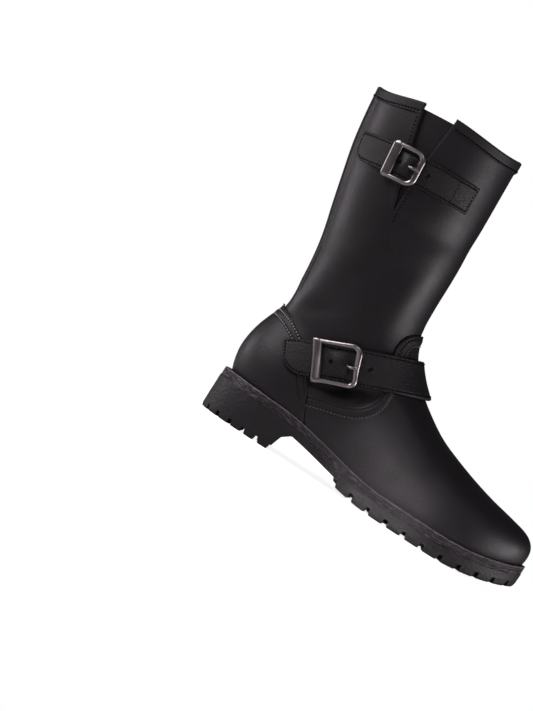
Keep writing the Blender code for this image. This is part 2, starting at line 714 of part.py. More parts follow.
def build_buckle(name, strap, buckle):
    """Curved frame over the strap with a wide bar by the tip, and its prong over the far bar."""
    turns, length, middle = strap_turns(strap)
    lateral = turns > 0
    centre = np.interp(-buckle["x"], -middle[lateral, 0], length[lateral])

    def place(loop, out):
        turn = np.interp(centre + loop[:, 0], length, turns)
        return strap_point(strap, turn, loop[:, 1], out)

    outer = buckle_loop(buckle["length"], buckle["width"], (0, 0, 0), (BUCKLE_SQUARE_CORNER, BUCKLE_CORNER))
    inner = buckle_loop(
        buckle["length"], buckle["width"], (WIDE_BAR, FAR_BAR, SIDE_BAR), (0.8, BUCKLE_CORNER - SIDE_BAR)
    )
    low = strap["lift"] + STRAP_THICK + 2 * GAP
    high = low + BUCKLE_THICK
    loops = [place(outer, low), place(outer, high - 0.8), place(0.85 * outer + 0.15 * inner, high)]
    loops += [place(0.25 * outer + 0.75 * inner, high), place(inner, high - 0.8), place(inner, low)]
    sweep(f"{name}_buckle", np.stack(loops, axis=1), "steel", ring=True)
    far_edge = -buckle["length"] / 2
    spine = (
        (far_edge + FAR_BAR + 6.0, low + PRONG_RADIUS),
        (far_edge + FAR_BAR + 2.5, high + 2 * GAP + PRONG_RADIUS),
        (far_edge + FAR_BAR / 2, high + 1.5 * GAP + PRONG_RADIUS),
        (far_edge + 0.6, high + 1.5 * GAP + PRONG_RADIUS),
    )
    sections = []
    for a, out in spine:
        heading = np.linspace(0, 2 * math.pi, 8, endpoint=False)
        ring = np.column_stack((np.full(8, a), PRONG_RADIUS * np.cos(heading)))
        sections.append(place(ring, out + PRONG_RADIUS * np.sin(heading)))
    sweep(f"{name}_prong", sections, "steel")


def stand_on_origin():
    """Moves the boot so that the middle of its box stands over the origin, with its lowest lug on the floor."""
    boot = bpy.data.objects["boot"]
    bpy.context.view_layer.update()
    graph = bpy.context.evaluated_depsgraph_get()
    corners = []
    for piece in boot.children:
        if not piece.hide_render:
            mesh = piece.evaluated_get(graph).to_mesh()
            corners += [v.co.copy() for v in mesh.vertices]
    corners = np.array(corners)
    low, high = corners.min(axis=0), corners.max(axis=0)
    boot.location = (-(low[0] + high[0]) / 2, -(low[1] + high[1]) / 2, -low[2])


def main():
    for old in list(bpy.data.objects):
        bpy.data.objects.remove(old)
    boot = bpy.data.objects.new("boot", None)
    bpy.context.scene.collection.objects.link(boot)
    build_outsole()
    build_midsole()
    build_welt()
    build_insole()
    build_upper()
    build_overlays()
    build_gusset()
    build_binding()
    build_strap("ankle_strap", ANKLE_STRAP)
    build_buckle("ankle", ANKLE_STRAP, ANKLE_BUCKLE)
    build_strap("top_strap", TOP_STRAP)
    build_buckle("top", TOP_STRAP, TOP_BUCKLE)
    stand_on_origin()


main()
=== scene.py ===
"""Looks of a right-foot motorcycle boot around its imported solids: leather shaft and overlays with creases and
stitch rows, buckled straps, a rough-edged welt and a moulded lug sole. Shapes are worked out in millimetres
in the boot's own frame, X from heel to toe, +Y to the inner side of the foot and Z up, and boot_place() gives
the step from there to the row's frame."""

import math

import bmesh
import bpy
import numpy as np
from mathutils import Matrix, Vector


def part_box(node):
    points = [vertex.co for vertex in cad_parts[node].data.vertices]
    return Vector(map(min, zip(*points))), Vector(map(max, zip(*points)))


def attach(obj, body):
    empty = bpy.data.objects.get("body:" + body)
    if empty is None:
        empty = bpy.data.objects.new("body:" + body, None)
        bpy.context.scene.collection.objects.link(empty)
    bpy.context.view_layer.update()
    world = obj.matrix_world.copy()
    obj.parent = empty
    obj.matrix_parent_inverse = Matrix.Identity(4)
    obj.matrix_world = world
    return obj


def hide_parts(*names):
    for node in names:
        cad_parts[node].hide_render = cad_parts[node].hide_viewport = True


bl_info = {
    "name": "Motorcycle boot",
    "version": (1, 0, 0),
    "blender": (4, 5, 0),
    "location": "3D View > Sidebar > Boot",
    "description": "Builds the leather, rubber, thread and steel of a motorcycle boot around its solids",
    "category": "Object",
}

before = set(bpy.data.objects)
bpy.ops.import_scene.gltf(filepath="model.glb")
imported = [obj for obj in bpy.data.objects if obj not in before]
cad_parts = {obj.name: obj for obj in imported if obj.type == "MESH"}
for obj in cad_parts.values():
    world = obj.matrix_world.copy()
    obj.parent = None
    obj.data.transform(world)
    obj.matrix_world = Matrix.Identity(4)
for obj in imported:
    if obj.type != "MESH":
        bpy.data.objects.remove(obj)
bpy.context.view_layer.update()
MM = 0.001

# Sole sizes, as in the solids
SOLE_LENGTH = 277.0
HEEL_REACH = 6.0
TOE_X = SOLE_LENGTH - HEEL_REACH
BALL_WIDTH = 100.0
HEEL_STACK = 31.5
SEAT_DROP = 4.0
FOREFOOT_STACK = 14.5
TOE_SPRING = 13.0
HEEL_END = 45.0
BALL_START = 150.0
TOE_SPRING_START = 195.0
HEEL_BREAST = 57.0
HEEL_DRAFT_SIDE = 1.5
HEEL_DRAFT_BREAST = 1.5
BREAST_FILLET = 9.0
OUTSOLE_BODY = 6.0
LUG_DEPTH = 5.0
HEEL_LUG_DEPTH = 4.2
MIDSOLE_THICK = 3.2
MIDSOLE_INSET = 0.9
MIDSOLE_EDGE_INSET = 0.45
WELT_THICK = 3.2
WELT_INSET = 0.3
INSOLE_THICK = 3.0
GAP = 0.3
JOIN = 1.0
LUG_PITCH = 16.3
LUG_GROOVE = 3.2
LUG_LENGTH = 28.0
TOE_LUG_SHORTER = 7.0
WAIST_LUG_SHORTER = 9.0
LUG_WAIST = 110.0
HEEL_LUG_PITCH = 12.8
HEEL_LUG_GROOVE = 2.3
HEEL_LUG_LENGTH = 15.0
LUG_SHOULDER = 0.82
PETAL_HUB = 2.0
PETAL_SPREAD = math.radians(31)
FOREFOOT_CROSSES = ((131.0, -3.5, 8.5), (156.0, -2.5, 12.5), (185.0, 0.0, 11.5), (211.0, 1.5, 9.0))
HEEL_CROSSES = ((26.5, 0.0, 6.5), (42.5, 0.0, 7.0))

# Leather sizes, as in the solids
UPPER_WALL = 2.0
LEATHER_WALL = 1.3
OVERLAY_GAP = 0.6
OVERLAY_THICK = 1.4
GUSSET_THICK = 1.2
STRAP_THICK = 2.4
FULLNESS = np.array((
    (0.00, 1.32, 1.32), (0.10, 1.14, 1.13), (0.25, 0.87, 0.81), (0.37, 0.76, 0.64),
    (0.55, 0.90, 0.82), (0.70, 1.09, 1.07), (0.85, 1.20, 1.29), (1.00, 1.18, 1.42),
))
RING_COLUMNS = ("back_x", "back_z", "front_x", "front_z", "lateral", "medial", "foot")
RINGS = np.array((
    (3.2, 31.1, 263.3, 24.9, 44.0, 43.5, 1.00),
    (-0.6, 41.5, 266.2, 34.0, 45.5, 45.0, 0.95),
    (-2.8, 53.0, 265.0, 43.5, 45.5, 45.0, 0.85),
    (-2.4, 64.0, 257.5, 50.0, 44.0, 43.5, 0.72),
    (-0.2, 75.0, 242.0, 54.0, 41.5, 41.0, 0.55),
    (3.2, 85.0, 219.5, 58.5, 39.0, 38.5, 0.38),
    (6.5, 94.0, 194.0, 65.5, 37.5, 37.0, 0.24),
    (8.0, 103.0, 167.0, 75.5, 37.0, 36.5, 0.13),
    (8.5, 112.0, 143.0, 89.0, 37.0, 36.5, 0.06),
    (8.0, 122.0, 124.0, 105.0, 37.5, 37.0, 0.02),
    (7.0, 134.0, 111.5, 122.0, 38.5, 38.0, 0.00),
    (5.0, 148.0, 106.5, 140.0, 40.0, 39.5, 0.00),
    (1.5, 164.0, 105.0, 159.0, 41.5, 41.0, 0.00),
    (-4.0, 184.0, 104.5, 181.0, 44.0, 43.5, 0.00),
    (-10.0, 207.0, 103.5, 206.0, 46.5, 46.0, 0.00),
    (-16.0, 231.0, 102.0, 233.0, 49.0, 48.5, 0.00),
    (-20.0, 254.0, 100.5, 259.5, 51.0, 50.5, 0.00),
    (-23.0, 277.0, 99.0, 286.5, 52.0, 51.5, 0.00),
))
TOP_LEVEL = len(RINGS) - 1.0
SLIT_TURN = 0.2815
SLIT_HALF_TURN = 0.035
SLIT_TIP_LEVEL = 13.75
GUSSET_MARGIN_TURN = 0.012
GUSSET_DROP_LEVEL = 0.13
VAMP_EDGE = np.array((
    (58.0, 51.5), (73.0, 56.0), (87.0, 60.0), (95.0, 64.0), (101.0, 70.5), (103.5, 78.0), (102.5, 90.0),
    (98.0, 105.0), (95.0, 120.0), (97.5, 128.5), (104.0, 134.0), (140.0, 135.5),
))
COUNTER_EDGE = np.array(((57.2, 52.5), (49.5, 62.0), (36.0, 81.0), (20.0, 91.0), (-40.0, 99.0)))
OVERLAY_FOOT_LEVEL = 0.16
WELT_FOOT_LEVEL = 0.62
SEAM_FOOT_X = 69.0
SEAM_GAP = 0.5
ANKLE_STRAP = dict(
    x=64.0, z=83.0, rise=0.44, bend=-0.0013, width=26.8, lateral_end=0.392, far_end=-0.345, lift=2.8,
    tip_length=17.0, tip_taper=0.62,
)
TOP_STRAP = dict(
    x=-13.0, z=231.0, rise=0.086, bend=0.0, width=22.0, lateral_end=0.432, far_end=0.1345, lift=0.3,
    tip_length=11.0, tip_taper=0.45,
)
FRONT_LIFT = 1.4
FRONT_LIFT_TURN = 0.13
TIP_CORNER_DROP = 0.03
ANKLE_BUCKLE = dict(x=63.5, length=36.8, width=34.2)
TOP_BUCKLE = dict(x=25.3, length=26.2, width=28.2)
WIDE_BAR = 6.6
FAR_BAR = 4.2
SIDE_BAR = 3.4
BUCKLE_CORNER = 7.5
BUCKLE_SQUARE_CORNER = 1.5
BUCKLE_THICK = 2.6
PRONG_RADIUS = 1.2
BINDING_WIDTH = 8.0
BINDING_THICK = 1.0

# Distance over which a crease fades past the boot's middle
SIDE_BLEND = 3.0
# Soft creases of the leather, one a row: its side, -1 outer or 1 inner, its middle's x and z in the side
# view, its heading in degrees, how long and wide it reaches, and its depth inwards
SHAFT_CREASES = np.array((
    (-1, 70.0, 200.0, 20.0, 34.0, 11.0, 2.2),
    (-1, 26.0, 150.0, 70.0, 34.0, 17.0, -1.6),
    (-1, 50.0, 140.0, 62.0, 40.0, 12.0, 1.7),
    (-1, 14.0, 106.0, 40.0, 14.0, 8.0, -1.1),
    (-1, 30.0, 112.0, 28.0, 22.0, 7.0, 1.5),
    (-1, 84.0, 150.0, 82.0, 34.0, 12.0, -1.2),
    (-1, 80.0, 72.0, 22.0, 22.0, 10.0, 8.0),
    (1, 60.0, 190.0, 25.0, 36.0, 13.0, 2.0),
    (1, 30.0, 140.0, 60.0, 38.0, 13.0, 1.8),
    (1, 24.0, 112.0, 25.0, 24.0, 8.0, 1.5),
    (1, 78.0, 150.0, 80.0, 34.0, 13.0, -1.2),
))
VAMP_CREASES = np.array((
    (-1, 168.0, 56.0, 112.0, 26.0, 10.0, 0.9),
    (1, 168.0, 56.0, 112.0, 26.0, 10.0, 0.9),
    (-1, 128.0, 62.0, 50.0, 26.0, 13.0, -0.7),
    (1, 128.0, 62.0, 50.0, 26.0, 13.0, -0.7),
    (-1, 160.0, 45.0, 10.0, 30.0, 10.0, -1.1),
    (1, 160.0, 45.0, 10.0, 30.0, 10.0, -1.1),
))


def linear(code):
    """Linear colour of an sRGB hex code, each channel through the sRGB curve."""
    channel = np.array([int(code[k : k + 2], 16) / 255 for k in (0, 2, 4)])
    return tuple(np.where(channel <= 0.04045, channel / 12.92, ((channel + 0.055) / 1.055) ** 2.4).tolist())


# Functions of numbers

def unit(vectors):
    """Vectors brought to length one."""
    return vectors / np.linalg.norm(vectors, axis=-1, keepdims=True)


def run_length(points):
    """Length along a path up to each of its points."""
    return np.concatenate(([0.0], np.cumsum(np.linalg.norm(np.diff(points, axis=0), axis=1))))


def bell(distance, width):
    """Bell curve: one at no distance, falling off over the width."""
    return np.exp(-((distance / width) ** 2))


def round_edge(distance, radius):
    """Drop of a quarter-round edge: one at the edge and none from the radius inwards."""
    return 1 - np.sqrt(1 - np.clip(1 - distance / radius, 0, 1) ** 2)


def flattened(wave, power):
    """Sine or cosine raised to a power, its sign kept: below 1 it squares a section, above 1 it bevels it."""
    return np.sign(wave) * np.abs(wave) ** power


def circle(sides):
    """Even angles round a closed section or outline."""
    return np.linspace(0, 2 * math.pi, sides, endpoint=False)


def smooth_curve(knots, values, at):
    """Cubic curve through the knots, each slope taken from the neighbouring knots."""
    slopes = np.gradient(values, knots)
    at = np.clip(np.asarray(at, float), knots[0], knots[-1])
    i = np.clip(np.searchsorted(knots, at, side="right") - 1, 0, len(knots) - 2)
    step = knots[i + 1] - knots[i]
    t = (at - knots[i]) / step
    rise = t * t * (3 - 2 * t)
    start_slope = t * (1 - t) ** 2 * step * slopes[i]
    end_slope = t * t * (t - 1) * step * slopes[i + 1]
    return values[i] * (1 - rise) + values[i + 1] * rise + start_slope + end_slope


# Shape functions of the boot

def foot_line(x):
    """Height of the midsole's top: gently sloped heel seat, arch, flat ball, then toe spring."""
    x = np.asarray(x, float)
    seat = SEAT_DROP * np.sin(math.pi / 2 * np.clip(x / BALL_START, 0, 1))
    arch = np.clip((x - HEEL_END) / (BALL_START - HEEL_END), 0, 1)
    fall = (HEEL_STACK - SEAT_DROP - FOREFOOT_STACK) * (1 - np.cos(math.pi * arch)) / 2
    toe = np.clip((x - TOE_SPRING_START) / (TOE_X - TOE_SPRING_START), 0, 1)
    return HEEL_STACK - seat - fall + TOE_SPRING * toe**2


# The lowest ring stands on the midsole
RINGS[0, [1, 3]] = foot_line(RINGS[0, [0, 2]]) + 1.5 * GAP


def sole_outline(angle, inset=0.0):
    """Plan of the sole: x by the cosine of the angle from the toe, y by its sine times the fullness."""
    along = (1 + np.cos(angle)) / 2
    full = np.where(
        np.sin(angle) > 0,
        smooth_curve(FULLNESS[:, 0], FULLNESS[:, 1], along),
        smooth_curve(FULLNESS[:, 0], FULLNESS[:, 2], along),
    )
    x = inset - HEEL_REACH + along * (SOLE_LENGTH - 2 * inset)
    return x, -np.sin(angle) * full * (BALL_WIDTH / 2 - inset)


def outline_angle(x):
    """Angle from the toe at which the sole's outline passes x."""
    return math.acos(2 * (x + HEEL_REACH) / SOLE_LENGTH - 1)


def upper_point(turn, level):
    """Point of the upper's wall: a ring at that level, at that share of the way round from the front."""
    turn, level = np.broadcast_arrays(np.asarray(turn, float), np.asarray(level, float))
    rows = np.arange(len(RINGS), dtype=float)
    back_x, back_z, front_x, front_z, lateral, medial, foot = (
        smooth_curve(rows, RINGS[:, k], level) for k in range(len(RING_COLUMNS))
    )
    angle = 2 * math.pi * turn
    along = (1 + np.cos(angle)) / 2
    x = back_x + along * (front_x - back_x)
    seat = foot_line(back_x) + along * (foot_line(front_x) - foot_line(back_x))
    z = back_z + along * (front_z - back_z) + foot * (foot_line(x) - seat)
    outer = lateral * (1 + foot * (smooth_curve(FULLNESS[:, 0], FULLNESS[:, 1], along) - 1))
    inner = medial * (1 + foot * (smooth_curve(FULLNESS[:, 0], FULLNESS[:, 2], along) - 1))
    y = -np.sin(angle) * np.where(np.sin(angle) > 0, outer, inner)
    return np.stack((x, y, z), axis=-1)


# Small difference of turn or level, for directions
STEP = 1e-3


def upper_normal(turn, level):
    """Outward normal of the upper's wall: the cross product of its two directions."""
    low = np.clip(level, 0, TOP_LEVEL - STEP)
    across = upper_point(turn + STEP, level) - upper_point(turn - STEP, level)
    up = upper_point(turn, low + STEP) - upper_point(turn, low)
    return unit(np.cross(up, across))


def upper_offset(turn, level, out):
    """Point at a distance out from the upper's wall, along its outward normal."""
    turn, level = np.broadcast_arrays(np.asarray(turn, float), np.asarray(level, float))
    out = np.broadcast_to(np.asarray(out, float), turn.shape)
    return upper_point(turn, level) + out[..., None] * upper_normal(turn, level)


def halve(above, shape, steps):
    """Bounds of the level from which a rising condition holds, by halving the range of levels."""
    low, high = np.zeros(shape), np.full(shape, TOP_LEVEL)
    for _ in range(steps):
        middle = (low + high) / 2
        high, low = np.where(above(middle), (middle, low), (high, middle))
    return low, high


def solve_level(turn, height):
    """Level at which height, a rising function of a point, crosses zero at that turn."""
    low, high = halve(lambda level: height(upper_point(turn, level)) > 0, np.shape(turn), 24)
    return (low + high) / 2


def turn_at(x, level):
    """Turn on the outer side at which a ring passes x; beyond the ring's ends, its front or back middle."""
    rows = np.arange(len(RINGS), dtype=float)
    back, front = smooth_curve(rows, RINGS[:, 0], level), smooth_curve(rows, RINGS[:, 2], level)
    return np.arccos(np.clip(2 * (x - back) / (front - back) - 1, -1, 1)) / (2 * math.pi)


def place_on_side(x, z):
    """Turn and level of the upper's wall at a place in the side view, on the outer side."""
    low, _ = halve(lambda level: upper_point(turn_at(x, level), level)[:, 2] > z, len(x), 40)
    return turn_at(x, low), low


def edge_curve(edge, count):
    """Even points along an overlay's edge in the side view, by a smooth curve over its chord lengths."""
    length = run_length(edge)
    at = np.linspace(0, length[-1], count)
    return np.column_stack((smooth_curve(length, edge[:, 0], at), smooth_curve(length, edge[:, 1], at)))


def edge_path(edge, shares):
    """Turns and levels at even shares of the way along an overlay's upper edge."""
    turns, levels = place_on_side(edge[:, 0], edge[:, 1])
    length = run_length(upper_point(turns, levels))
    where = np.asarray(shares) * length[-1]
    return smooth_curve(length, turns, where), smooth_curve(length, levels, where)


def strap_line(strap, x):
    """Height of a strap's middle line in the side view."""
    ahead = x - strap["x"]
    return strap["z"] + strap["rise"] * ahead + strap["bend"] * ahead**2


def strap_place(strap, turn, across):
    """Turn and level of the wall under a strap, at a distance across its middle line and square to it."""
    turn, across = np.broadcast_arrays(np.asarray(turn, float), np.asarray(across, float))

    def crossing(at, offset):
        level = solve_level(at, lambda p: p[..., 2] - strap_line(strap, p[..., 0]) - offset)
        return level, upper_point(at, level)

    middle = crossing(turn, 0.0)[1]
    heading = unit(crossing(turn + STEP, 0.0)[1] - crossing(turn - STEP, 0.0)[1])
    offset = across * math.hypot(1, strap["rise"])
    at = turn
    for _ in range(3):
        point = crossing(at, offset)[1]
        pace = ((crossing(at + STEP, offset)[1] - point) * heading).sum(axis=-1) / STEP
        at = at - ((point - middle) * heading).sum(axis=-1) / pace
    return at, crossing(at, offset)[0]


def strap_turns(strap):
    """Dense turns along a strap's middle line, their lengths from its front end, and its points."""
    turns = np.linspace(strap["far_end"], strap["lateral_end"], 300)
    middle = upper_point(*strap_place(strap, turns, 0.0))
    return turns, run_length(middle), middle


def slit_half_turn(level):
    """Half width of the slit: none below its tip, widening evenly to the collar."""
    return SLIT_HALF_TURN * np.clip((level - SLIT_TIP_LEVEL) / (TOP_LEVEL - SLIT_TIP_LEVEL), 0, 1)


def creases(points, table):
    """Depth of soft troughs and ridges: a bell along and across each crease, on its own side of the boot."""
    depth = np.zeros(points.shape[:-1])
    for side, x, z, heading, long, wide, deep in table:
        turned = math.radians(heading)
        along = (points[..., 0] - x) * math.cos(turned) + (points[..., 2] - z) * math.sin(turned)
        across = (points[..., 2] - z) * math.cos(turned) - (points[..., 0] - x) * math.sin(turned)
        on_side = 1 / (1 + np.exp(-side * points[..., 1] / SIDE_BLEND))
        depth += deep * bell(along, long) * bell(across, wide) * on_side
    return depth


# Stations of the midsole's solid, by the angle from the toe
SLAB_ANGLES = (math.pi / 60, math.pi - math.pi / 60)
SLAB_STATIONS = 32


def boot_place():
    """Step from the boot's own frame to the row's, from the midsole's solid and its known outline."""
    low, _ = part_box("midsole")
    angle = np.linspace(*SLAB_ANGLES, SLAB_STATIONS)
    x, y = sole_outline(angle, MIDSOLE_INSET)
    return np.array((low.x / MM - x.min(), low.y / MM - y.min(), 0.0))


BOOT_PLACE = boot_place()


# Mesh helpers

def grid_faces(rows, columns, start=0, ring=False):
    """Quads of a grid of points stored row by row; a ring joins the last row to the first."""
    r, c = np.meshgrid(np.arange(rows if ring else rows - 1), np.arange(columns - 1), indexing="ij")
    following = (r + 1) % rows
    near, far = r * columns + c, following * columns + c
    return np.stack((near, near + 1, far + 1, far), -1).reshape(-1, 4) + start


def add_piece(name, points, faces, finish, stands_for=(), heights=None, sharp=40.0):
    """Mesh piece from points in millimetres of the boot's frame, doubles merged and faces turned outwards."""
    mesh = bpy.data.meshes.new(name)
    placed = (np.asarray(points, float).reshape(-1, 3) + BOOT_PLACE) * MM
    mesh.from_pydata(placed.tolist(), [], [list(map(int, face)) for face in faces])
    if heights is not None:
        mesh.attributes.new("layer_height", "FLOAT", "POINT")
        mesh.attributes["layer_height"].data.foreach_set("value", np.asarray(heights, np.float32).ravel())
    shape = bmesh.new()
    shape.from_mesh(mesh)
    bmesh.ops.remove_doubles(shape, verts=shape.verts, dist=1e-7)
    bmesh.ops.dissolve_degenerate(shape, edges=shape.edges, dist=1e-8)
    bmesh.ops.recalc_face_normals(shape, faces=shape.faces)
    shape.to_mesh(mesh)
    shape.free()
    mesh.shade_smooth()
    mesh.set_sharp_from_angle(angle=math.radians(sharp))
    mesh.materials.append(finish)
    piece = bpy.data.objects.new(name, mesh)
    bpy.context.scene.collection.objects.link(piece)
    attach(piece, "root")
    if stands_for:
        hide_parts(*stands_for)
    return piece


def shell(name, outer, inner, finish, stands_for=(), open_from_row=0):
    """Closed wall between two grids. Side edges below open_from_row meet, so they get no rim."""
    rows, columns = outer.shape[:2]
    count = rows * columns
    c = np.arange(columns - 1)
    r = np.arange(open_from_row, rows - 1)
    rims = [np.stack((a, a + 1, count + a + 1, count + a), -1) for a in (c, (rows - 1) * columns + c)]
    for a in (r * columns, r * columns + columns - 1):
        rims.append(np.stack((a, a + columns, count + a + columns, count + a), -1))
    faces = np.concatenate((grid_faces(rows, columns), grid_faces(rows, columns, count)[:, ::-1], *rims))
    points = np.concatenate((outer.reshape(-1, 3), inner.reshape(-1, 3)))
    return add_piece(name, points, faces, finish, stands_for)


def tube_faces(count, profile, ring=False, start=0):
    """Faces of closed sections along a path, capped at both ends unless the ends join."""
    i, k = np.meshgrid(np.arange(count if ring else count - 1), np.arange(profile), indexing="ij")
    following, side = (i + 1) % count, (k + 1) % profile
    near, far = i * profile, following * profile
    quads = np.stack((near + k, near + side, far + side, far + k), -1)
    faces = (quads.reshape(-1, 4) + start).tolist()
    if not ring:
        faces.append(list(range(start + profile - 1, start - 1, -1)))
        faces.append([start + (count - 1) * profile + k for k in range(profile)])
    return faces


# Finishes

def fill(tree, node, inputs):
    """Links or fills each named or numbered input of a node."""
    for socket, value in inputs.items():
        if isinstance(value, bpy.types.NodeSocket):
            tree.links.new(value, node.inputs[socket])
        else:
            node.inputs[socket].default_value = value


def add_node(tree, kind, inputs=None, ramp=(), **settings):
    """Adds a node, sets its options and the stops of its colour ramp, and links or fills its inputs."""
    made = tree.nodes.new(kind)
    for option, value in settings.items():
        setattr(made, option, value)
    for k, (place, colour) in enumerate(ramp):
        made.color_ramp.elements[k].position = place
        made.color_ramp.elements[k].color = colour
    fill(tree, made, inputs or {})
    return made


def tones(colour, *stops):
    """Stops of a colour ramp, each a place on it and a multiple of the colour."""
    return [(place, (*(share * np.array(colour)), 1)) for place, share in stops]


def new_finish(name, roughness, metallic=0.0, specular=0.5):
    """Empty material with its Principled shader's even values set, and its object coordinates."""
    made = bpy.data.materials.new(name)
    made.use_nodes = True
    tree = made.node_tree
    shader = tree.nodes["Principled BSDF"]
    fill(tree, shader, {"Roughness": roughness, "Metallic": metallic, "Specular IOR Level": specular})
    place = add_node(tree, "ShaderNodeTexCoord").outputs["Object"]
    return made, tree, shader, place


# Sizes of the finishes' patterns in metres
CLOUD_SIZE = 0.028
GRIT_SIZE = 0.0022
RUBBER_CLOUD_SIZE = 0.004
PLY_SIZE = 0.0006
WEAVE_SIZE = 0.0012
TOOTH_SIZE = 0.01


def leather_finish(name, colour, grain_share, roughness, relief_strength, specular):
    """Corrected-grain cowhide, dyed black and waxed: a soft satin, finely pebbled, with faint cloudy patches.
    The true grain of about 0.5 mm is too fine to show, so it is drawn at a share of the scene's grain."""
    made, tree, shader, place = new_finish(name, roughness, specular=specular)
    grain = grain_share * bpy.context.scene.boot_sizes.grain
    cloud = add_node(tree, "ShaderNodeTexNoise", {"Vector": place, "Scale": 1 / CLOUD_SIZE, "Detail": 3.0})
    mottle = add_node(tree, "ShaderNodeTexNoise", {"Vector": place, "Scale": 0.5 / grain, "Detail": 2.0})
    shade = add_node(
        tree,
        "ShaderNodeMix",
        {"Factor": relief_strength / 2, "A": cloud.outputs["Fac"], "B": mottle.outputs["Fac"]},
    )
    stops = tones(colour, (0.32, 0.6), (0.68, 1.4))
    tint = add_node(tree, "ShaderNodeValToRGB", {"Fac": shade.outputs["Result"]}, ramp=stops)
    wear = add_node(
        tree,
        "ShaderNodeMapRange",
        {"Value": cloud.outputs["Fac"], 1: 0.3, 2: 0.7, 3: roughness + 0.05, 4: roughness - 0.05},
    )
    pebble = add_node(
        tree, "ShaderNodeTexVoronoi", {"Vector": place, "Scale": 1 / grain}, feature="SMOOTH_F1"
    )
    pores = add_node(tree, "ShaderNodeTexNoise", {"Vector": place, "Scale": 2.2 / grain, "Detail": 2.0})
    relief = add_node(
        tree, "ShaderNodeMath", {0: pebble.outputs["Distance"], 1: pores.outputs["Fac"]}, operation="ADD"
    )
    bump = add_node(
        tree,
        "ShaderNodeBump",
        {"Height": relief.outputs["Value"], "Strength": relief_strength, "Distance": 0.0003},
    )
    looks = {"Base Color": tint.outputs[0], "Roughness": wear.outputs["Result"], "Normal": bump.outputs[0]}
    fill(tree, shader, looks)
    return made


# Height above the midsole's top of the welt's rim, about which its colour is painted lighter as a highlight
RIM_HIGHLIGHT_HEIGHT = 3.0


def rubber_finish(name, colour, rough_lines_and_glints):
    """Moulded rubber: matt black with a faint spark-eroded texture. With rough lines and glints it is the cut
    edge of a stitched welt, whose layers show as broken light lines along the sole, their bumps real and their
    lightness painted glints, and whose rim's colour is painted lighter as a highlight."""
    made, tree, shader, place = new_finish(name, 0.42 if rough_lines_and_glints else 0.5, specular=0.4)
    grit = add_node(tree, "ShaderNodeTexNoise", {"Vector": place, "Scale": 1 / GRIT_SIZE, "Detail": 4.0})
    if rough_lines_and_glints:
        layer = add_node(tree, "ShaderNodeAttribute", attribute_name="layer_height").outputs["Fac"]
        apart = add_node(tree, "ShaderNodeSeparateXYZ", {"Vector": place}).outputs
        stretches = dict(X=(apart["X"], 180.0), Y=(apart["Y"], 180.0), Z=(layer, 1.5))
        stretched = {
            axis: add_node(tree, "ShaderNodeMath", {0: value, 1: scale}, operation="MULTIPLY").outputs[0]
            for axis, (value, scale) in stretches.items()
        }
        vector = add_node(tree, "ShaderNodeCombineXYZ", stretched).outputs["Vector"]
        # Layer lines along the cut edge: they raise the bump, and in the ramp below their high values are
        # painted up to 18 times the colour as glints
        strands_and_glints = add_node(
            tree, "ShaderNodeTexNoise", {"Vector": vector, "Scale": 1.0, "Detail": 5.0, "Roughness": 0.65}
        ).outputs["Fac"]
        height = add_node(
            tree, "ShaderNodeMath", {0: strands_and_glints, 1: grit.outputs["Fac"]}, operation="ADD"
        ).outputs[0]
        # Painted highlight: near the rim's height the welt's colour is made lighter in the ramp, for the light
        # its top edge catches
        from_rim = add_node(tree, "ShaderNodeMath", {0: layer, 1: RIM_HIGHLIGHT_HEIGHT}, operation="SUBTRACT")
        near_rim = add_node(tree, "ShaderNodeMath", {0: from_rim.outputs[0]}, operation="ABSOLUTE")
        painted_rim_highlight = add_node(
            tree, "ShaderNodeMapRange", {"Value": near_rim.outputs[0], 1: 0.0, 2: 0.6, 3: 0.26, 4: 0.0}
        )
        shade = add_node(tree, "ShaderNodeMath", {0: strands_and_glints, 1: painted_rim_highlight.outputs["Result"]}, operation="ADD")
        stops, strength = tones(colour, (0.53, 1.0), (0.66, 18.0)), 0.9
    else:
        height = grit.outputs["Fac"]
        shade = add_node(
            tree, "ShaderNodeTexNoise", {"Vector": place, "Scale": 1 / RUBBER_CLOUD_SIZE, "Detail": 4.0}
        )
        stops, strength = tones(colour, (0.3, 0.7), (0.7, 1.4)), 1.0
    tint = add_node(tree, "ShaderNodeValToRGB", {"Fac": shade.outputs[0]}, ramp=stops)
    bump = add_node(tree, "ShaderNodeBump", {"Height": height, "Strength": strength, "Distance": 0.0006})
    fill(tree, shader, {"Base Color": tint.outputs["Color"], "Normal": bump.outputs["Normal"]})
    return made


def steel_finish(name, colour):
    """Nickel-plated steel, darkened and brushed: fine scratches across the bars, a soft, bright highlight."""
    made, tree, shader, place = new_finish(name, 0.3, metallic=1.0)
    turned = add_node(tree, "ShaderNodeMapping", {"Vector": place, "Scale": (150.0, 150.0, 700.0)})
    brush = add_node(
        tree, "ShaderNodeTexNoise", {"Vector": turned.outputs["Vector"], "Scale": 1.0, "Detail": 2.0}
    ).outputs["Fac"]
    tint = add_node(tree, "ShaderNodeValToRGB", {"Fac": brush}, ramp=tones(colour, (0.3, 0.95), (0.7, 1.05)))
    gloss = add_node(tree, "ShaderNodeMapRange", {"Value": brush, 1: 0.3, 2: 0.7, 3: 0.30, 4: 0.34})
    fill(tree, shader, {"Base Color": tint.outputs["Color"], "Roughness": gloss.outputs["Result"]})
    return made


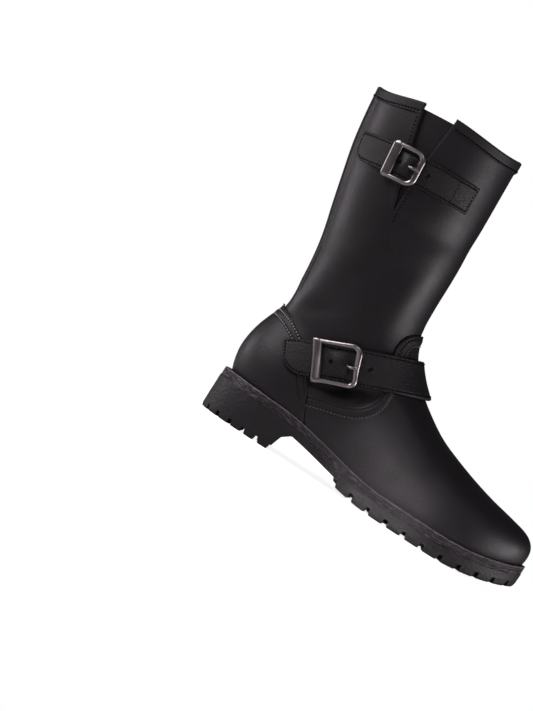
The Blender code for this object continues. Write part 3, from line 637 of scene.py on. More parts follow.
def thread_finish(name, colour, roughness, specular):
    """Bonded polyester thread: twisted plies that catch small glints where it is waxed. The vamp's, welt's and
    counter's threads are coloured lighter than black as painted glints.
    """
    made, tree, shader, place = new_finish(name, roughness, specular=specular)
    plies = add_node(
        tree, "ShaderNodeTexNoise", {"Vector": place, "Scale": 1 / PLY_SIZE, "Detail": 1.0}
    ).outputs["Fac"]
    tint = add_node(tree, "ShaderNodeValToRGB", {"Fac": plies}, ramp=tones(colour, (0.0, 0.5), (1.0, 1.6)))
    bump = add_node(tree, "ShaderNodeBump", {"Height": plies, "Strength": 0.3, "Distance": 0.0002})
    fill(tree, shader, {"Base Color": tint.outputs["Color"], "Normal": bump.outputs["Normal"]})
    return made


def lining_finish(name, colour):
    """Woven textile lining: matt, its plain weave drawn at 1.2 mm because its true 0.4 mm would not show."""
    made, tree, shader, place = new_finish(name, 0.85, specular=0.3)
    thread = 2 * math.pi / WEAVE_SIZE
    waves = []
    apart = add_node(tree, "ShaderNodeSeparateXYZ", {"Vector": place})
    for axis in ("X", "Z"):
        scaled = add_node(tree, "ShaderNodeMath", {0: apart.outputs[axis], 1: thread}, operation="MULTIPLY")
        waves.append(add_node(tree, "ShaderNodeMath", {0: scaled.outputs[0]}, operation="SINE").outputs[0])
    weave = add_node(tree, "ShaderNodeMath", {0: waves[0], 1: waves[1]}, operation="MULTIPLY").outputs[0]
    share = add_node(tree, "ShaderNodeMapRange", {"Value": weave, 1: -1.0, 2: 1.0, 3: 0.35, 4: 0.65})
    stops = tones(colour, (0.0, 0.6), (1.0, 1.4))
    tint = add_node(tree, "ShaderNodeValToRGB", {"Fac": share.outputs["Result"]}, ramp=stops)
    bump = add_node(tree, "ShaderNodeBump", {"Height": weave, "Strength": 0.25, "Distance": 0.0002})
    fill(tree, shader, {"Base Color": tint.outputs["Color"], "Normal": bump.outputs["Normal"]})
    return made


# Each finish's maker, the name of its colour and its other settings
FINISHES = dict(
    waxed_cowhide=(leather_finish, "leather", (1.0, 0.46, 0.3, 0.36)),
    pebbled_cowhide=(leather_finish, "strap", (1.0, 0.46, 0.9, 0.36)),
    thin_cowhide=(leather_finish, "trim", (0.8, 0.54, 0.3, 0.36)),
    moulded_rubber=(rubber_finish, "rubber", (False,)),
    rough_cut_welt=(rubber_finish, "welt", (True,)),
    brushed_nickel=(steel_finish, "steel", ()),
    # Painted glints: this thread is coloured mid grey, lighter than the black thread it stands for
    waxed_thread=(thread_finish, "thread", (0.42, 0.5)),
    # Painted highlights: the counter's thread is coloured pale grey, though it is black
    pale_thread=(thread_finish, "counter_thread_glint", (0.42, 0.5)),
    black_thread=(thread_finish, "strap_thread", (0.8, 0.1)),
    woven_lining=(lining_finish, "lining", ()),
)


def finish(name):
    """The finish of that name, made on its first use from the scene's colours."""
    found = bpy.data.materials.get(name)
    if found:
        return found
    maker, colour, settings = FINISHES[name]
    return maker(name, getattr(bpy.context.scene.boot_colours, colour), *settings)


# Stitches

# Sections of one stitch: place along it, girth and rise out of the leather, as shares of its length and width
STITCH_SECTIONS = np.array((
    (-0.5, 0.25, -0.45), (-0.32, 0.85, -0.05), (0.0, 1.0, 0.12), (0.32, 0.85, -0.05), (0.5, 0.25, -0.45),
))
STITCH_SIDES = 6
STITCH_FLATNESS = 0.8


def stitch_row(points, normals, pitch, length, width):
    """Points of stitches laid along a path: capsules at even lengths, turned to the path and its surface."""
    run = run_length(points)
    count = max(2, int(run[-1] / pitch))
    at = (np.arange(count) + 0.5) * run[-1] / count

    def along(values):
        return np.stack([np.interp(at, run, values[:, k]) for k in range(3)], axis=-1)

    heading, out = unit(along(np.gradient(points, run, axis=0))), unit(along(normals))
    side = np.cross(out, heading)
    ends, girth, rise = STITCH_SECTIONS.T[..., None]
    turned = circle(STITCH_SIDES)
    sections = np.stack(np.broadcast_arrays(
        ends * length,
        girth * np.cos(turned) * width / 2,
        (girth * np.sin(turned) * STITCH_FLATNESS + 2 * rise) * width / 2,
    ), axis=-1).reshape(-1, 3)
    return along(points)[:, None] + sections @ np.stack((heading, side, out), axis=1)


def copied_faces(template, count, size, start=0):
    """Faces of a template repeated for a count of copies that have that size in points."""
    return [[k + start + size * i for k in face] for i in range(count) for face in template]


def add_stitches(name, rows, thread):
    """One joined mesh of all the stitches in the rows given."""
    laid = np.concatenate(rows)
    faces = copied_faces(tube_faces(len(STITCH_SECTIONS), STITCH_SIDES), *laid.shape[:2])
    return add_piece(name, laid.reshape(-1, 3), faces, finish(thread), sharp=80.0)


def edge_row(edge, middle_turn, inset, inward, out, lowest):
    """Path beside an overlay's edge: the edge moved in by the inset in the side view, laid back on the wall,
    then mirrored about the front's or the back's middle. On the outer side it ends at the lowest height."""
    curve = edge_curve(edge, 240)
    heading = unit(np.gradient(curve, axis=0))
    moved = curve + inward * inset * np.column_stack((heading[:, 1], -heading[:, 0]))
    turn, level = place_on_side(moved[:, 0], moved[:, 1])
    on_side = np.abs(turn - middle_turn) > 1e-4
    outer = on_side & (moved[:, 1] > lowest)
    turn = np.concatenate((turn[outer], 2 * middle_turn - turn[on_side][::-1]))
    level = np.concatenate((level[outer], level[on_side][::-1]))
    normal = upper_normal(turn, level)
    return upper_point(turn, level) + out * normal, normal


# Leather pieces

# Strip over the back seam, which fades in from its foot level upwards, over its rise
BACKSTAY = dict(half_turn=0.047, thick=1.3, edge=0.25, foot=7.0, rise=2.0)
# About the way round the shaft, to turn shares of it into millimetres
GIRTH = 300.0
SLIT_LIP = 0.8
SLIT_LIP_WIDTH = 4.0
SLIT_LIP_RISE = 0.5
SLIT_EDGE_ROUND = 1.6


def shaft_relief(turn, level):
    """How far the shaft's leather lies out of its plain wall: its creases, the strip over the back seam, and
    the slit's raised and rounded edges."""
    inside = (BACKSTAY["half_turn"] - np.abs(np.mod(turn, 1.0) - 0.5)) * GIRTH
    strip = BACKSTAY["thick"] / (1 + np.exp(-inside / BACKSTAY["edge"]))
    strip = strip * np.clip((level - BACKSTAY["foot"]) / BACKSTAY["rise"], 0, 1)
    from_slit = np.abs(np.mod(turn - SLIT_TURN + 0.5, 1.0) - 0.5) - slit_half_turn(level)
    from_slit = np.maximum(from_slit * GIRTH, 0.0)
    lip = SLIT_LIP * (bell(from_slit, SLIT_LIP_WIDTH) - round_edge(from_slit, SLIT_EDGE_ROUND))
    lip = lip * np.clip((level - SLIT_TIP_LEVEL) / SLIT_LIP_RISE, 0, 1)
    return lip + strip - creases(upper_point(turn, level), SHAFT_CREASES)


# Depth of the collar rim's sag, the power that shapes its curve, and the level from which the wall hangs too
RIM_SAG_LEVEL = 0.13
RIM_SAG_POWER = 1.3
RIM_SAG_START = 14.0
# Step of level below the rim that gives its upward direction
RIM_STEP = 0.2


def rim_sag(turn):
    """How far the collar's rim hangs down between the slit's corners and the boot's back and front middle."""
    round_from_slit = np.mod(turn - SLIT_TURN, 1.0)
    knots = np.array((0.0, SLIT_HALF_TURN, 0.5 - SLIT_TURN, 1 - SLIT_TURN, 1 - SLIT_HALF_TURN, 1.0))
    span = np.interp(round_from_slit, knots, (0.0, 0.0, 1.0, 3.0, 4.0, 4.0))
    return RIM_SAG_LEVEL * np.abs(np.sin(math.pi * span)) ** RIM_SAG_POWER


def rim_frame(turn):
    """Points of the collar's rim with their upward and outward directions."""
    top = TOP_LEVEL - rim_sag(turn)
    rim = upper_point(turn, top)
    return rim, unit(rim - upper_point(turn, top - RIM_STEP)), upper_normal(turn, top)


# Columns crowded beside the slit, as shares of the way round, and the first even column after them
SLIT_COLUMNS = np.array((0.0, 0.0008, 0.0017, 0.0028, 0.0042, 0.006))
EVEN_START = 0.0085
# Share of the wall's rows that lie below the slit's tip
ROWS_BELOW_SLIT = 0.72


def upper_grid(columns, rows):
    """Turns and levels of the upper's wall, parted at the slit above its tip and hung at the rim, and the row
    of the tip."""
    below = np.linspace(0, SLIT_TIP_LEVEL, round(rows * ROWS_BELOW_SLIT))
    above = np.linspace(SLIT_TIP_LEVEL, TOP_LEVEL, round(rows * (1 - ROWS_BELOW_SLIT)))[1:]
    level = np.concatenate((below, above))[:, None]
    even = np.linspace(EVEN_START, 1 - EVEN_START, columns - 2 * len(SLIT_COLUMNS))
    share = np.concatenate((SLIT_COLUMNS, even, 1 - SLIT_COLUMNS[::-1]))
    opening = slit_half_turn(level)
    turn = SLIT_TURN + opening + share * (1 - 2 * opening)
    hung = np.clip((level - RIM_SAG_START) / (TOP_LEVEL - RIM_SAG_START), 0, 1)
    return turn, level - rim_sag(turn) * hung, len(below) - 1


# Gap between layers that look as if they touch
THIN_GAP = 0.05
# The upper's layers: piece, columns and rows, outer and inner face, finish, slot and the solid it replaces
UPPER_LAYERS = (
    ("shaft_leather", (300, 130), (0.0, -LEATHER_WALL), "waxed_cowhide", "leather", ("upper",)),
    ("shaft_lining", (120, 90), (-LEATHER_WALL - THIN_GAP, -UPPER_WALL), "woven_lining", "lining", ()),
)


def build_upper():
    """Shaft leather over its lining: two walls of the upper's function that share its thickness."""
    for name, size, faces, made_of, slot, stands_for in UPPER_LAYERS:
        turn, level, tip_row = upper_grid(*size)
        relief = shaft_relief(turn, level)
        outer, inner = (upper_offset(turn, level, relief + face) for face in faces)
        shell(name, outer, inner, finish(made_of), stands_for, tip_row)


# Each stitch row of an overlay has its distance from the upper edge, the depth of its groove and its thread;
# on the outer side its stitches end at the lowest height, the counter's under the ankle strap
OVERLAYS = (
    dict(
        name="vamp_leather", node="vamp", edge=VAMP_EDGE, middle=0.0, gap=0.0, inward=1, puff=0.6,
        rows=((2.2, 0.4, "black_thread"), (8.2, 0.7, "waxed_thread")), lowest=0.0, columns=144,
    ),
    dict(
        name="counter_leather", node="heel_counter", edge=COUNTER_EDGE, middle=0.5, gap=SEAM_GAP, inward=-1,
        puff=0.25, rows=((2.0, 0.7, "pale_thread"), (7.0, 0.7, "pale_thread")), lowest=66.0, columns=114,
    ),
)


# Width of the band of close rows at an overlay's edge
EDGE_BAND = 12.0
# Rounded edge of an overlay: its radius, and the share of the thickness by which it drops
OVERLAY_ROUND = 1.4
OVERLAY_EDGE_DROP = 0.7
GROOVE_WIDTH = 0.75
LEAST_THICK = 0.3


def overlay_grid(overlay):
    """Turns and levels of an overlay, from its edge down to the feather edge, rows crowded at the edge."""
    columns = overlay["columns"]
    shares = np.concatenate(((0.0, 0.0015, 0.0035, 0.007), np.linspace(0.012, 1, columns - 4)))
    edge_turn, edge_level = edge_path(overlay["edge"], shares)
    seam_turn = turn_at(SEAM_FOOT_X - overlay["gap"], 0.0)
    foot_turn = seam_turn + shares * (overlay["middle"] - seam_turn)
    mirrored = slice(columns - 2, None, -1)
    foot_turn = np.concatenate((foot_turn, 2 * overlay["middle"] - foot_turn[mirrored]))
    edge_turn = np.concatenate((edge_turn, 2 * overlay["middle"] - edge_turn[mirrored]))
    edge_level = np.concatenate((edge_level, edge_level[mirrored]))
    coarse = np.linspace(1, 0, 40)[:, None]
    middle = upper_point(
        foot_turn + coarse * (edge_turn - foot_turn),
        OVERLAY_FOOT_LEVEL + coarse * (edge_level - OVERLAY_FOOT_LEVEL),
    )
    length = np.linalg.norm(np.diff(middle, axis=0), axis=-1).sum(axis=0)
    near = np.linspace(0, EDGE_BAND, 38)[:, None] / length
    far = near[-1] + np.linspace(0, 1, 46)[1:, None] * (1 - near[-1])
    up = 1 - np.concatenate((near, far))
    turn = foot_turn + up * (edge_turn - foot_turn)
    return turn, OVERLAY_FOOT_LEVEL + up * (edge_level - OVERLAY_FOOT_LEVEL)


def edge_distance(points, edge):
    """Distance of each point from an overlay's edge, both seen from the side."""
    curve = edge_curve(edge, 260)
    flat = points[..., [0, 2]].reshape(-1, 2)
    best = np.full(len(flat), np.inf)
    for part in np.array_split(curve, 26):
        gap = np.linalg.norm(flat[:, None] - part[None], axis=-1).min(axis=1)
        best = np.minimum(best, gap)
    return best.reshape(points.shape[:-1])


def build_overlays():
    """Vamp and counter: the wall's function moved out, with rounded edge, puffed band and stitch grooves."""
    for overlay in OVERLAYS:
        turn, level = overlay_grid(overlay)
        points = upper_point(turn, level)
        apart = edge_distance(points, overlay["edge"])
        steps = np.linalg.norm(np.diff(points, axis=1), axis=-1)
        run = np.concatenate((np.zeros((len(points), 1)), np.cumsum(steps, axis=1)), axis=1)
        to_rim = np.minimum(apart, np.minimum(run, run[:, -1:] - run))
        thick = OVERLAY_THICK * (1 - OVERLAY_EDGE_DROP * round_edge(to_rim, OVERLAY_ROUND))
        last = overlay["rows"][-1][0]
        thick += overlay["puff"] * np.clip(np.sin(math.pi * np.clip(apart / last, 0, 1)), 0, 1)
        for row, depth, _ in overlay["rows"]:
            thick -= depth * bell(apart - row, GROOVE_WIDTH)
        relief = creases(points, VAMP_CREASES) if overlay["node"] == "vamp" else 0.0
        outer = OVERLAY_GAP + np.maximum(thick - relief, LEAST_THICK)
        shell(
            overlay["name"],
            upper_offset(turn, level, outer),
            upper_offset(turn, level, OVERLAY_GAP),
            finish("waxed_cowhide"),
            (overlay["node"],),
        )


# How far the gusset hollows inwards between its edges, and its reach below the slit's tip, in levels
GUSSET_SAG = 0.5
GUSSET_FOOT_LEVEL = 0.2
# Folded strip of the collar: its stitches' distance above its edge, the height below the rim at which its
# outer leaf turns into the fold, the stitches' groove, its rounded edge, and how far it reaches down inside
BINDING_STITCH = 1.8
BINDING_LEAF_TOP = -0.5
BINDING_GROOVE = 0.5
BINDING_GROOVE_WIDTH = 0.6
BINDING_EDGE_DROP = 0.6
BINDING_ROUND = 1.0
BINDING_INSIDE = 1.0


def build_collar():
    """Gusset behind the slit, and the strip folded over the collar's rim."""
    level = np.linspace(SLIT_TIP_LEVEL - GUSSET_FOOT_LEVEL, TOP_LEVEL - GUSSET_DROP_LEVEL, 60)[:, None]
    across = np.linspace(-1, 1, 41)
    turn = SLIT_TURN + (slit_half_turn(level) + GUSSET_MARGIN_TURN) * across
    face = -UPPER_WALL - 2 * GAP - GUSSET_SAG * np.cos(across * math.pi / 2)
    outer, inner = (upper_offset(turn, level, face - depth) for depth in (0.0, GUSSET_THICK))
    shell("gusset_leather", outer, inner, finish("thin_cowhide"), ("gusset",))
    rim, rise, normal = rim_frame(
        np.linspace(SLIT_TURN + SLIT_HALF_TURN, SLIT_TURN + 1 - SLIT_HALF_TURN, 260)
    )
    near, far = GAP, GAP + BINDING_THICK
    lower = np.linspace(-BINDING_WIDTH, BINDING_LEAF_TOP, 22)
    from_edge = lower + BINDING_WIDTH
    leaf = far - BINDING_GROOVE * bell(from_edge - BINDING_STITCH, BINDING_GROOVE_WIDTH)
    leaf = leaf - BINDING_EDGE_DROP * round_edge(from_edge, BINDING_ROUND)
    over = np.linspace(0, math.pi, 12)
    wide, middle = (UPPER_WALL + 2 * far) / 2, -UPPER_WALL / 2
    fold = np.column_stack((middle + wide * np.cos(over), far * np.sin(over)))
    profile = [*zip(leaf, lower), *fold.tolist()]
    profile += [(-UPPER_WALL - far, -BINDING_INSIDE), (-UPPER_WALL - near, -BINDING_INSIDE)]
    profile += [(-UPPER_WALL - near, near), (near, near), (near, -BINDING_WIDTH)]
    sections = np.stack([rim + out * normal + up * rise for out, up in profile], axis=1)
    faces = tube_faces(len(rim), len(profile))
    add_piece(
        "collar_binding_leather", sections, faces, finish("thin_cowhide"), ("collar_binding",),
        sharp=60.0,
    )


# Punched holes of each strap: distance along it from its buckle's middle towards the strap's tip
STRAPS = (
    dict(
        name="ankle_strap_leather", node="ankle_strap", strap=ANKLE_STRAP, buckle=ANKLE_BUCKLE,
        holes=(4.0, -26.0),
    ),
    dict(
        name="top_strap_leather", node="top_strap", strap=TOP_STRAP, buckle=TOP_BUCKLE,
        holes=(4.0, -19.0),
    ),
)
STITCH_INSET = 2.0
STRAP_ROUND = 1.1
STRAP_EDGE_DROP = 0.9
STRAP_GROOVE = 0.4
STRAP_GROOVE_WIDTH = 0.55
# Swelling of a strap inside its buckle's frame, and its half width as a share of the strap's width
STRAP_BULGE = 3.8
BULGE_SHARE = 0.42
HOLE_RADIUS = 1.5
HOLE_EDGE = 0.14
HOLE_FLOOR = 0.5
# Beyond this many edges from a hole its fade is flat, which keeps the exponent in range
HOLE_FADE_END = 60.0
# Distance between a strap's rows of points, and its columns
STRAP_STEP = 0.55
STRAP_COLUMNS = 57


def strap_edges(strap, where, total):
    """Lower and upper edge of a strap across its middle line: straight, then a one-sided rounded tip."""
    half = strap["width"] / 2
    tip = np.clip(1 - (total - where) / strap["tip_length"], 0, 1)
    low = -half + strap["width"] * strap["tip_taper"] * (1 - np.sqrt(1 - tip**2))
    return low, half - strap["width"] * TIP_CORNER_DROP * tip**3


def strap_lift(strap, turn):
    """Distance of a strap's back from the wall: its lift, and more where it rides over the front."""
    return strap["lift"] + FRONT_LIFT * bell(turn, FRONT_LIFT_TURN)


def buckle_centre(buckle, turns, length, middle):
    """Length along a strap at its buckle's middle, on the outer side."""
    lateral = turns > 0
    return np.interp(-buckle["x"], -middle[lateral, 0], length[lateral])


def build_straps():
    """Straps as closed walls along their line: flat back, rounded edges, stitch grooves and punched holes."""
    for row in STRAPS:
        strap = row["strap"]
        turns, length, middle = strap_turns(strap)
        total = length[-1]
        where = np.linspace(0, total, round(total / STRAP_STEP))
        turn = np.interp(where, length, turns)
        low, high = strap_edges(strap, where, total)
        share = np.linspace(0, 1, STRAP_COLUMNS)
        across = low[:, None] + share[None] * (high - low)[:, None]
        at, level = strap_place(strap, turn[:, None], across)
        lift = np.broadcast_to(strap_lift(strap, turn)[:, None], across.shape)
        to_edge = np.minimum(across - low[:, None], high[:, None] - across)
        ends = np.minimum(total - where, where)
        to_edge = np.minimum(to_edge, np.maximum(ends, 0.0)[:, None])
        thick = STRAP_THICK - STRAP_EDGE_DROP * round_edge(to_edge, STRAP_ROUND)
        thick = thick - STRAP_GROOVE * bell(to_edge - STITCH_INSET, STRAP_GROOVE_WIDTH)
        centre = buckle_centre(row["buckle"], turns, length, middle)
        frame_middle = centre + (FAR_BAR - WIDE_BAR) / 2
        half_length = (row["buckle"]["length"] - FAR_BAR - WIDE_BAR) / 2
        ahead = np.clip(1 - ((where - frame_middle) / half_length) ** 2, 0, 1)[:, None]
        beside = np.clip(1 - (across / (BULGE_SHARE * strap["width"])) ** 2, 0, 1)
        thick = thick + STRAP_BULGE * ahead**2 * beside
        for hole in row["holes"]:
            apart = np.hypot(where[:, None] - centre - hole, across)
            outside = np.minimum((apart - HOLE_RADIUS) / HOLE_EDGE, HOLE_FADE_END)
            thick = thick - (STRAP_THICK - HOLE_FLOOR) / (1 + np.exp(outside))
        outer = upper_offset(at, level, lift + np.maximum(thick, LEAST_THICK))
        inner = upper_offset(at, level, lift)
        shell(row["name"], outer, inner, finish("pebbled_cowhide"), (row["node"],))


# Buckles

def buckle_loop(length, width, bars, corners):
    """Rounded rectangle, counted from the strap's tip side; bars narrow it and corners round it.
    Straight stretches get points of their own, so that the frame bends with the strap."""
    wide, far, side = bars
    low_a, high_a = -length / 2 + far, length / 2 - wide
    half = width / 2 - side
    square, rounded = corners
    places = (
        (high_a, half, square, 0.0), (low_a, half, rounded, 90.0),
        (low_a, -half, rounded, 180.0), (high_a, -half, square, 270.0),
    )
    arcs = []
    for a, c, radius, start in places:
        heading = np.radians(start + np.linspace(0, 90, 14))
        centre = np.array((a - math.copysign(radius, a), c - math.copysign(radius, c)))
        arcs.append(centre + radius * np.column_stack((np.cos(heading), np.sin(heading))))
    loop = []
    for k, arc in enumerate(arcs):
        following = arcs[(k + 1) % 4][0]
        share = np.linspace(0, 1, 14)[1:-1, None]
        loop += [arc, arc[-1] + share * (following - arc[-1])]
    return np.concatenate(loop)


# Power of the frame's section: 1 is an ellipse, and more flattens it to bevels that catch light from above
BAR_BEVEL = 1.25
FRAME_SIDES = 16
INNER_CORNER = 0.8
# Sleeve on the wide bar: how far it stands over the bar, its rounded ends, and the powers of its section
SLEEVE_OVER = 0.35
SLEEVE_END = 2.6
SLEEVE_ENDS = np.array((0.0, 0.15, 0.5, 1.0, 1.7, 2.5))
SLEEVE_EVEN_START = 3.4
SLEEVE_LONGER = 0.1
SLEEVE_END_SHARE = 0.93
SLEEVE_POWERS = (0.6, 0.8)
SLEEVE_SIDES = 24
# Prong: its start past the far bar, where it rises over that bar, and how far inside the frame's end it stops
PRONG_START = 6.0
PRONG_RISE = 2.5
PRONG_SHORT = 0.6
PRONG_SIDES = 14
# Knot from which the prong rounds off, and the length of its rounded end
PRONG_END = 2.7
PRONG_ROUND = 0.32


def buckle_sleeve(buckle):
    """Flat sleeve round the frame's wide bar: a rounded rectangle carried across the strap, a little proud of
    the bar."""
    half = buckle["width"] / 2 + SLEEVE_LONGER
    even = np.linspace(SLEEVE_EVEN_START - half, half - SLEEVE_EVEN_START, 26)
    across = np.concatenate((SLEEVE_ENDS - half, even, half - SLEEVE_ENDS[::-1]))
    shrink = np.sqrt(1 - np.clip(1 - (half - np.abs(across)) / SLEEVE_END, 0, SLEEVE_END_SHARE) ** 2)
    turned = circle(SLEEVE_SIDES)
    wide = flattened(np.cos(turned), SLEEVE_POWERS[0]) * (WIDE_BAR / 2 + SLEEVE_OVER)
    high = flattened(np.sin(turned), SLEEVE_POWERS[1]) * (BUCKLE_THICK / 2 + SLEEVE_OVER)
    along = buckle["length"] / 2 - WIDE_BAR / 2 + np.outer(shrink, wide)
    return np.stack(np.broadcast_arrays(along, across[:, None], np.outer(shrink, high)), axis=-1)


def build_buckles():
    """Buckle frames: a bevelled section round the loop; prongs: a round-ended tube over the far bar."""
    for name, row in (("ankle", STRAPS[0]), ("top", STRAPS[1])):
        strap, buckle = row["strap"], row["buckle"]
        turns, length, middle = strap_turns(strap)
        centre = buckle_centre(buckle, turns, length, middle)

        def place(loop, out):
            at, level = strap_place(strap, np.interp(centre + loop[..., 0], length, turns), loop[..., 1])
            return upper_offset(at, level, out)

        size = (buckle["length"], buckle["width"])
        outer = buckle_loop(*size, (0, 0, 0), (BUCKLE_SQUARE_CORNER, BUCKLE_CORNER))
        inner = buckle_loop(*size, (WIDE_BAR, FAR_BAR, SIDE_BAR), (INNER_CORNER, BUCKLE_CORNER - SIDE_BAR))
        low = strap["lift"] + STRAP_THICK + 2 * GAP
        high = low + BUCKLE_THICK
        turned = circle(FRAME_SIDES)
        blend = (0.5 - 0.5 * flattened(np.cos(turned), BAR_BEVEL))[None, :, None]
        loops = outer[:, None] * (1 - blend) + inner[:, None] * blend
        rise = flattened(np.sin(turned), BAR_BEVEL) * BUCKLE_THICK / 2
        sections = place(loops, np.broadcast_to((low + high) / 2 + rise, loops.shape[:2]))
        sleeve = buckle_sleeve(buckle)
        sleeve = place(sleeve[..., :2], (low + high) / 2 + sleeve[..., 2])
        faces = tube_faces(len(outer), FRAME_SIDES, ring=True)
        faces += tube_faces(len(sleeve), SLEEVE_SIDES, start=FRAME_SIDES * len(outer))
        add_piece(
            f"{name}_buckle_frame", np.concatenate((sections.reshape(-1, 3), sleeve.reshape(-1, 3))), faces,
            finish("brushed_nickel"), (f"{name}_buckle",), sharp=50.0,
        )
        far_edge = -buckle["length"] / 2
        spine = np.array((
            (far_edge + FAR_BAR + PRONG_START, low + PRONG_RADIUS),
            (far_edge + FAR_BAR + PRONG_RISE, high + 2 * GAP + PRONG_RADIUS),
            (far_edge + FAR_BAR / 2, high + 1.5 * GAP + PRONG_RADIUS),
            (far_edge + PRONG_SHORT, high + 1.5 * GAP + PRONG_RADIUS),
        ))
        knots = np.arange(4.0)
        at = np.linspace(0, 3, 26)
        along = smooth_curve(knots, spine[:, 0], at)
        rise = smooth_curve(knots, spine[:, 1], at)
        past_end = np.maximum(at - PRONG_END, 0) / PRONG_ROUND
        radius = PRONG_RADIUS * np.sqrt(1 - past_end**2)
        ring = circle(PRONG_SIDES)
        loops = np.stack(np.broadcast_arrays(along[:, None], radius[:, None] * np.cos(ring)), axis=-1)
        sections = place(loops, rise[:, None] + radius[:, None] * np.sin(ring))
        add_piece(
            f"{name}_buckle_prong", sections, tube_faces(len(at), PRONG_SIDES),
            finish("brushed_nickel"), (f"{name}_prong",), sharp=60.0,
        )


# Sole

# Corner radii of the sole's layers, and the ridges of the midsole's edge
OUTSOLE_CORNER = 0.06
MIDSOLE_CORNER = 0.12
MIDSOLE_RIDGE = 0.25
MIDSOLE_RIDGE_PITCH = 1.6
# Ends of the middle line to which the sole's layers are drawn, and their inner rings as shares of the way
MIDDLE_LINE = (25.0, TOE_X - 40.0)
INNER_RINGS = np.linspace(0.75, 0.02, 5)
TOE_LUG_START = TOE_SPRING_START + 20.0
# Share of the outline's length and width that the heel keeps at its foot
HEEL_LENGTH_SHARE = 1 - HEEL_DRAFT_BREAST / HEEL_BREAST
HEEL_HALF_WIDTH = 0.36 * BALL_WIDTH
HEEL_WIDTH_SHARE = 1 - HEEL_DRAFT_SIDE / HEEL_HALF_WIDTH


def outsole_top(x):
    """Height of the outsole's top, under the midsole."""
    return foot_line(x) - MIDSOLE_THICK - GAP


def lug_floor(x):
    """Lowest face of the forefoot lugs, on the floor under the ball."""
    return outsole_top(x) - OUTSOLE_BODY - LUG_DEPTH


def broken(angle, counts, shifts):
    """Strength of the side ridges round the sole, broken up by three waves with their counts and shifts."""
    slow, middle, fast = (np.sin(count * angle + shift) for count, shift in zip(counts, shifts))
    return 0.6 + 0.4 * slow * middle + 0.3 * fast


def slab(inset, top, thick, corner, ridges=0.0):
    """Layer of the sole: its outline drawn towards a middle line, with round corners and broken side ridges.
    Returns points, faces and each point's height in the layer."""
    angle = circle(420)
    x, y = sole_outline(angle, inset)
    middle = np.column_stack((np.clip(x, *MIDDLE_LINE), np.zeros(len(x))))
    rim = np.column_stack((x, y))
    toward = middle - rim
    toward /= np.maximum(np.linalg.norm(toward, axis=1, keepdims=True), 1e-6)
    arc = np.linspace(0, math.pi / 2, 5)
    side = np.linspace(-corner, corner - thick, 15)[1:-1]
    draw, drop = corner * (1 - np.sin(arc)), corner * (1 - np.cos(arc))
    depth = np.concatenate((draw, np.zeros(len(side)), draw[::-1]))
    fall = np.concatenate((-drop, side, -thick + drop[::-1]))
    lines = np.sin(2 * math.pi * fall / MIDSOLE_RIDGE_PITCH) * (depth == 0)
    wave = ridges * np.outer(broken(angle, (9, 23, 61), (1.3, 0.0, 0.7)), lines)
    plan = rim[:, None] + toward[:, None] * (depth + wave)[..., None]
    ground = middle[:, None] + (rim - middle)[:, None] * INNER_RINGS[:, None]
    plan = np.concatenate((ground[:, ::-1], plan, ground), axis=1)
    fall = np.concatenate((np.zeros(len(INNER_RINGS)), fall, np.full(len(INNER_RINGS), -thick)))
    points = np.concatenate((plan, (top(plan[..., 0]) + fall)[..., None]), axis=-1)
    heights = np.broadcast_to(fall, points.shape[:2])
    count, profile = points.shape[:2]
    faces = grid_faces(count, profile, ring=True).tolist()
    faces.append([i * profile for i in range(count)])
    faces.append([i * profile + profile - 1 for i in range(count - 1, -1, -1)])
    return points.reshape(-1, 3), faces, heights.ravel()


def perimeter(start_angle, end_angle, place):
    """Points along an outline with their lengths and inward directions; place maps x, y of the sole."""
    angle = np.linspace(start_angle, end_angle, 800)
    points = np.stack(place(*sole_outline(angle)), axis=-1)
    length = run_length(points)
    tangent = np.gradient(points, length, axis=0)
    inward = np.stack((-tangent[:, 1], tangent[:, 0]), axis=-1)
    if ((points.mean(axis=0) - points) * inward).sum() < 0:
        inward = -inward
    return points, length, inward


def edge_lugs(path, pitch, groove, longest, waist_shorter):
    """Plans of the lugs along an outline: curved outer edge, two straight flanks and a pointed inner end."""
    points, length, inward = path

    def at(where, depth):
        point, into = (
            np.stack([np.interp(where, length, values[:, k]) for k in (0, 1)], axis=-1)
            for values in (points, inward)
        )
        return point + np.asarray(depth)[..., None] * unit(into)

    count = round(length[-1] / pitch)
    start = np.arange(count) * length[-1] / count + groove / 2
    end = start + length[-1] / count - groove
    middle = (start + end) / 2
    x = at(middle, np.zeros(count))[:, 0]
    toe = np.clip((x - TOE_LUG_START) / (TOE_X - TOE_LUG_START), 0, 1)
    waist = np.clip((BALL_START - x) / (BALL_START - LUG_WAIST), 0, 1)
    reach = longest - TOE_LUG_SHORTER * toe - waist_shorter * waist
    share = np.linspace(0, 1, 9)
    outer = at(start[:, None] + share * (end - start)[:, None], np.zeros((count, 9)))
    first, last = at(end, reach * LUG_SHOULDER), at(start, reach * LUG_SHOULDER)
    centre, half = (first + last) / 2, (first - last) / 2
    size = np.linalg.norm(half, axis=1, keepdims=True)
    spread = np.maximum(size - groove / 4, groove / 2) / size
    inner = np.stack((centre + half * spread, at(middle, reach), centre - half * spread), axis=1)
    return np.concatenate((outer, inner), axis=1)


def cross_lugs(crosses):
    """Plans of the four petals of each cross along the tread's middle."""
    table = np.array(crosses)[:, None, None]
    heading = math.pi / 4 + np.arange(4)[None, :, None] * math.pi / 2
    turned = heading + PETAL_SPREAD * np.array((0.0, -1.0, 0.0, 1.0))
    reach = np.array((0.0, 1.0, 1.08, 1.0)) * table[..., 2] + PETAL_HUB * np.array((1.0, 0.0, 0.0, 0.0))
    plan = np.stack((table[..., 0] + reach * np.cos(turned), table[..., 1] + reach * np.sin(turned)), axis=-1)
    return plan.reshape(-1, 4, 2)


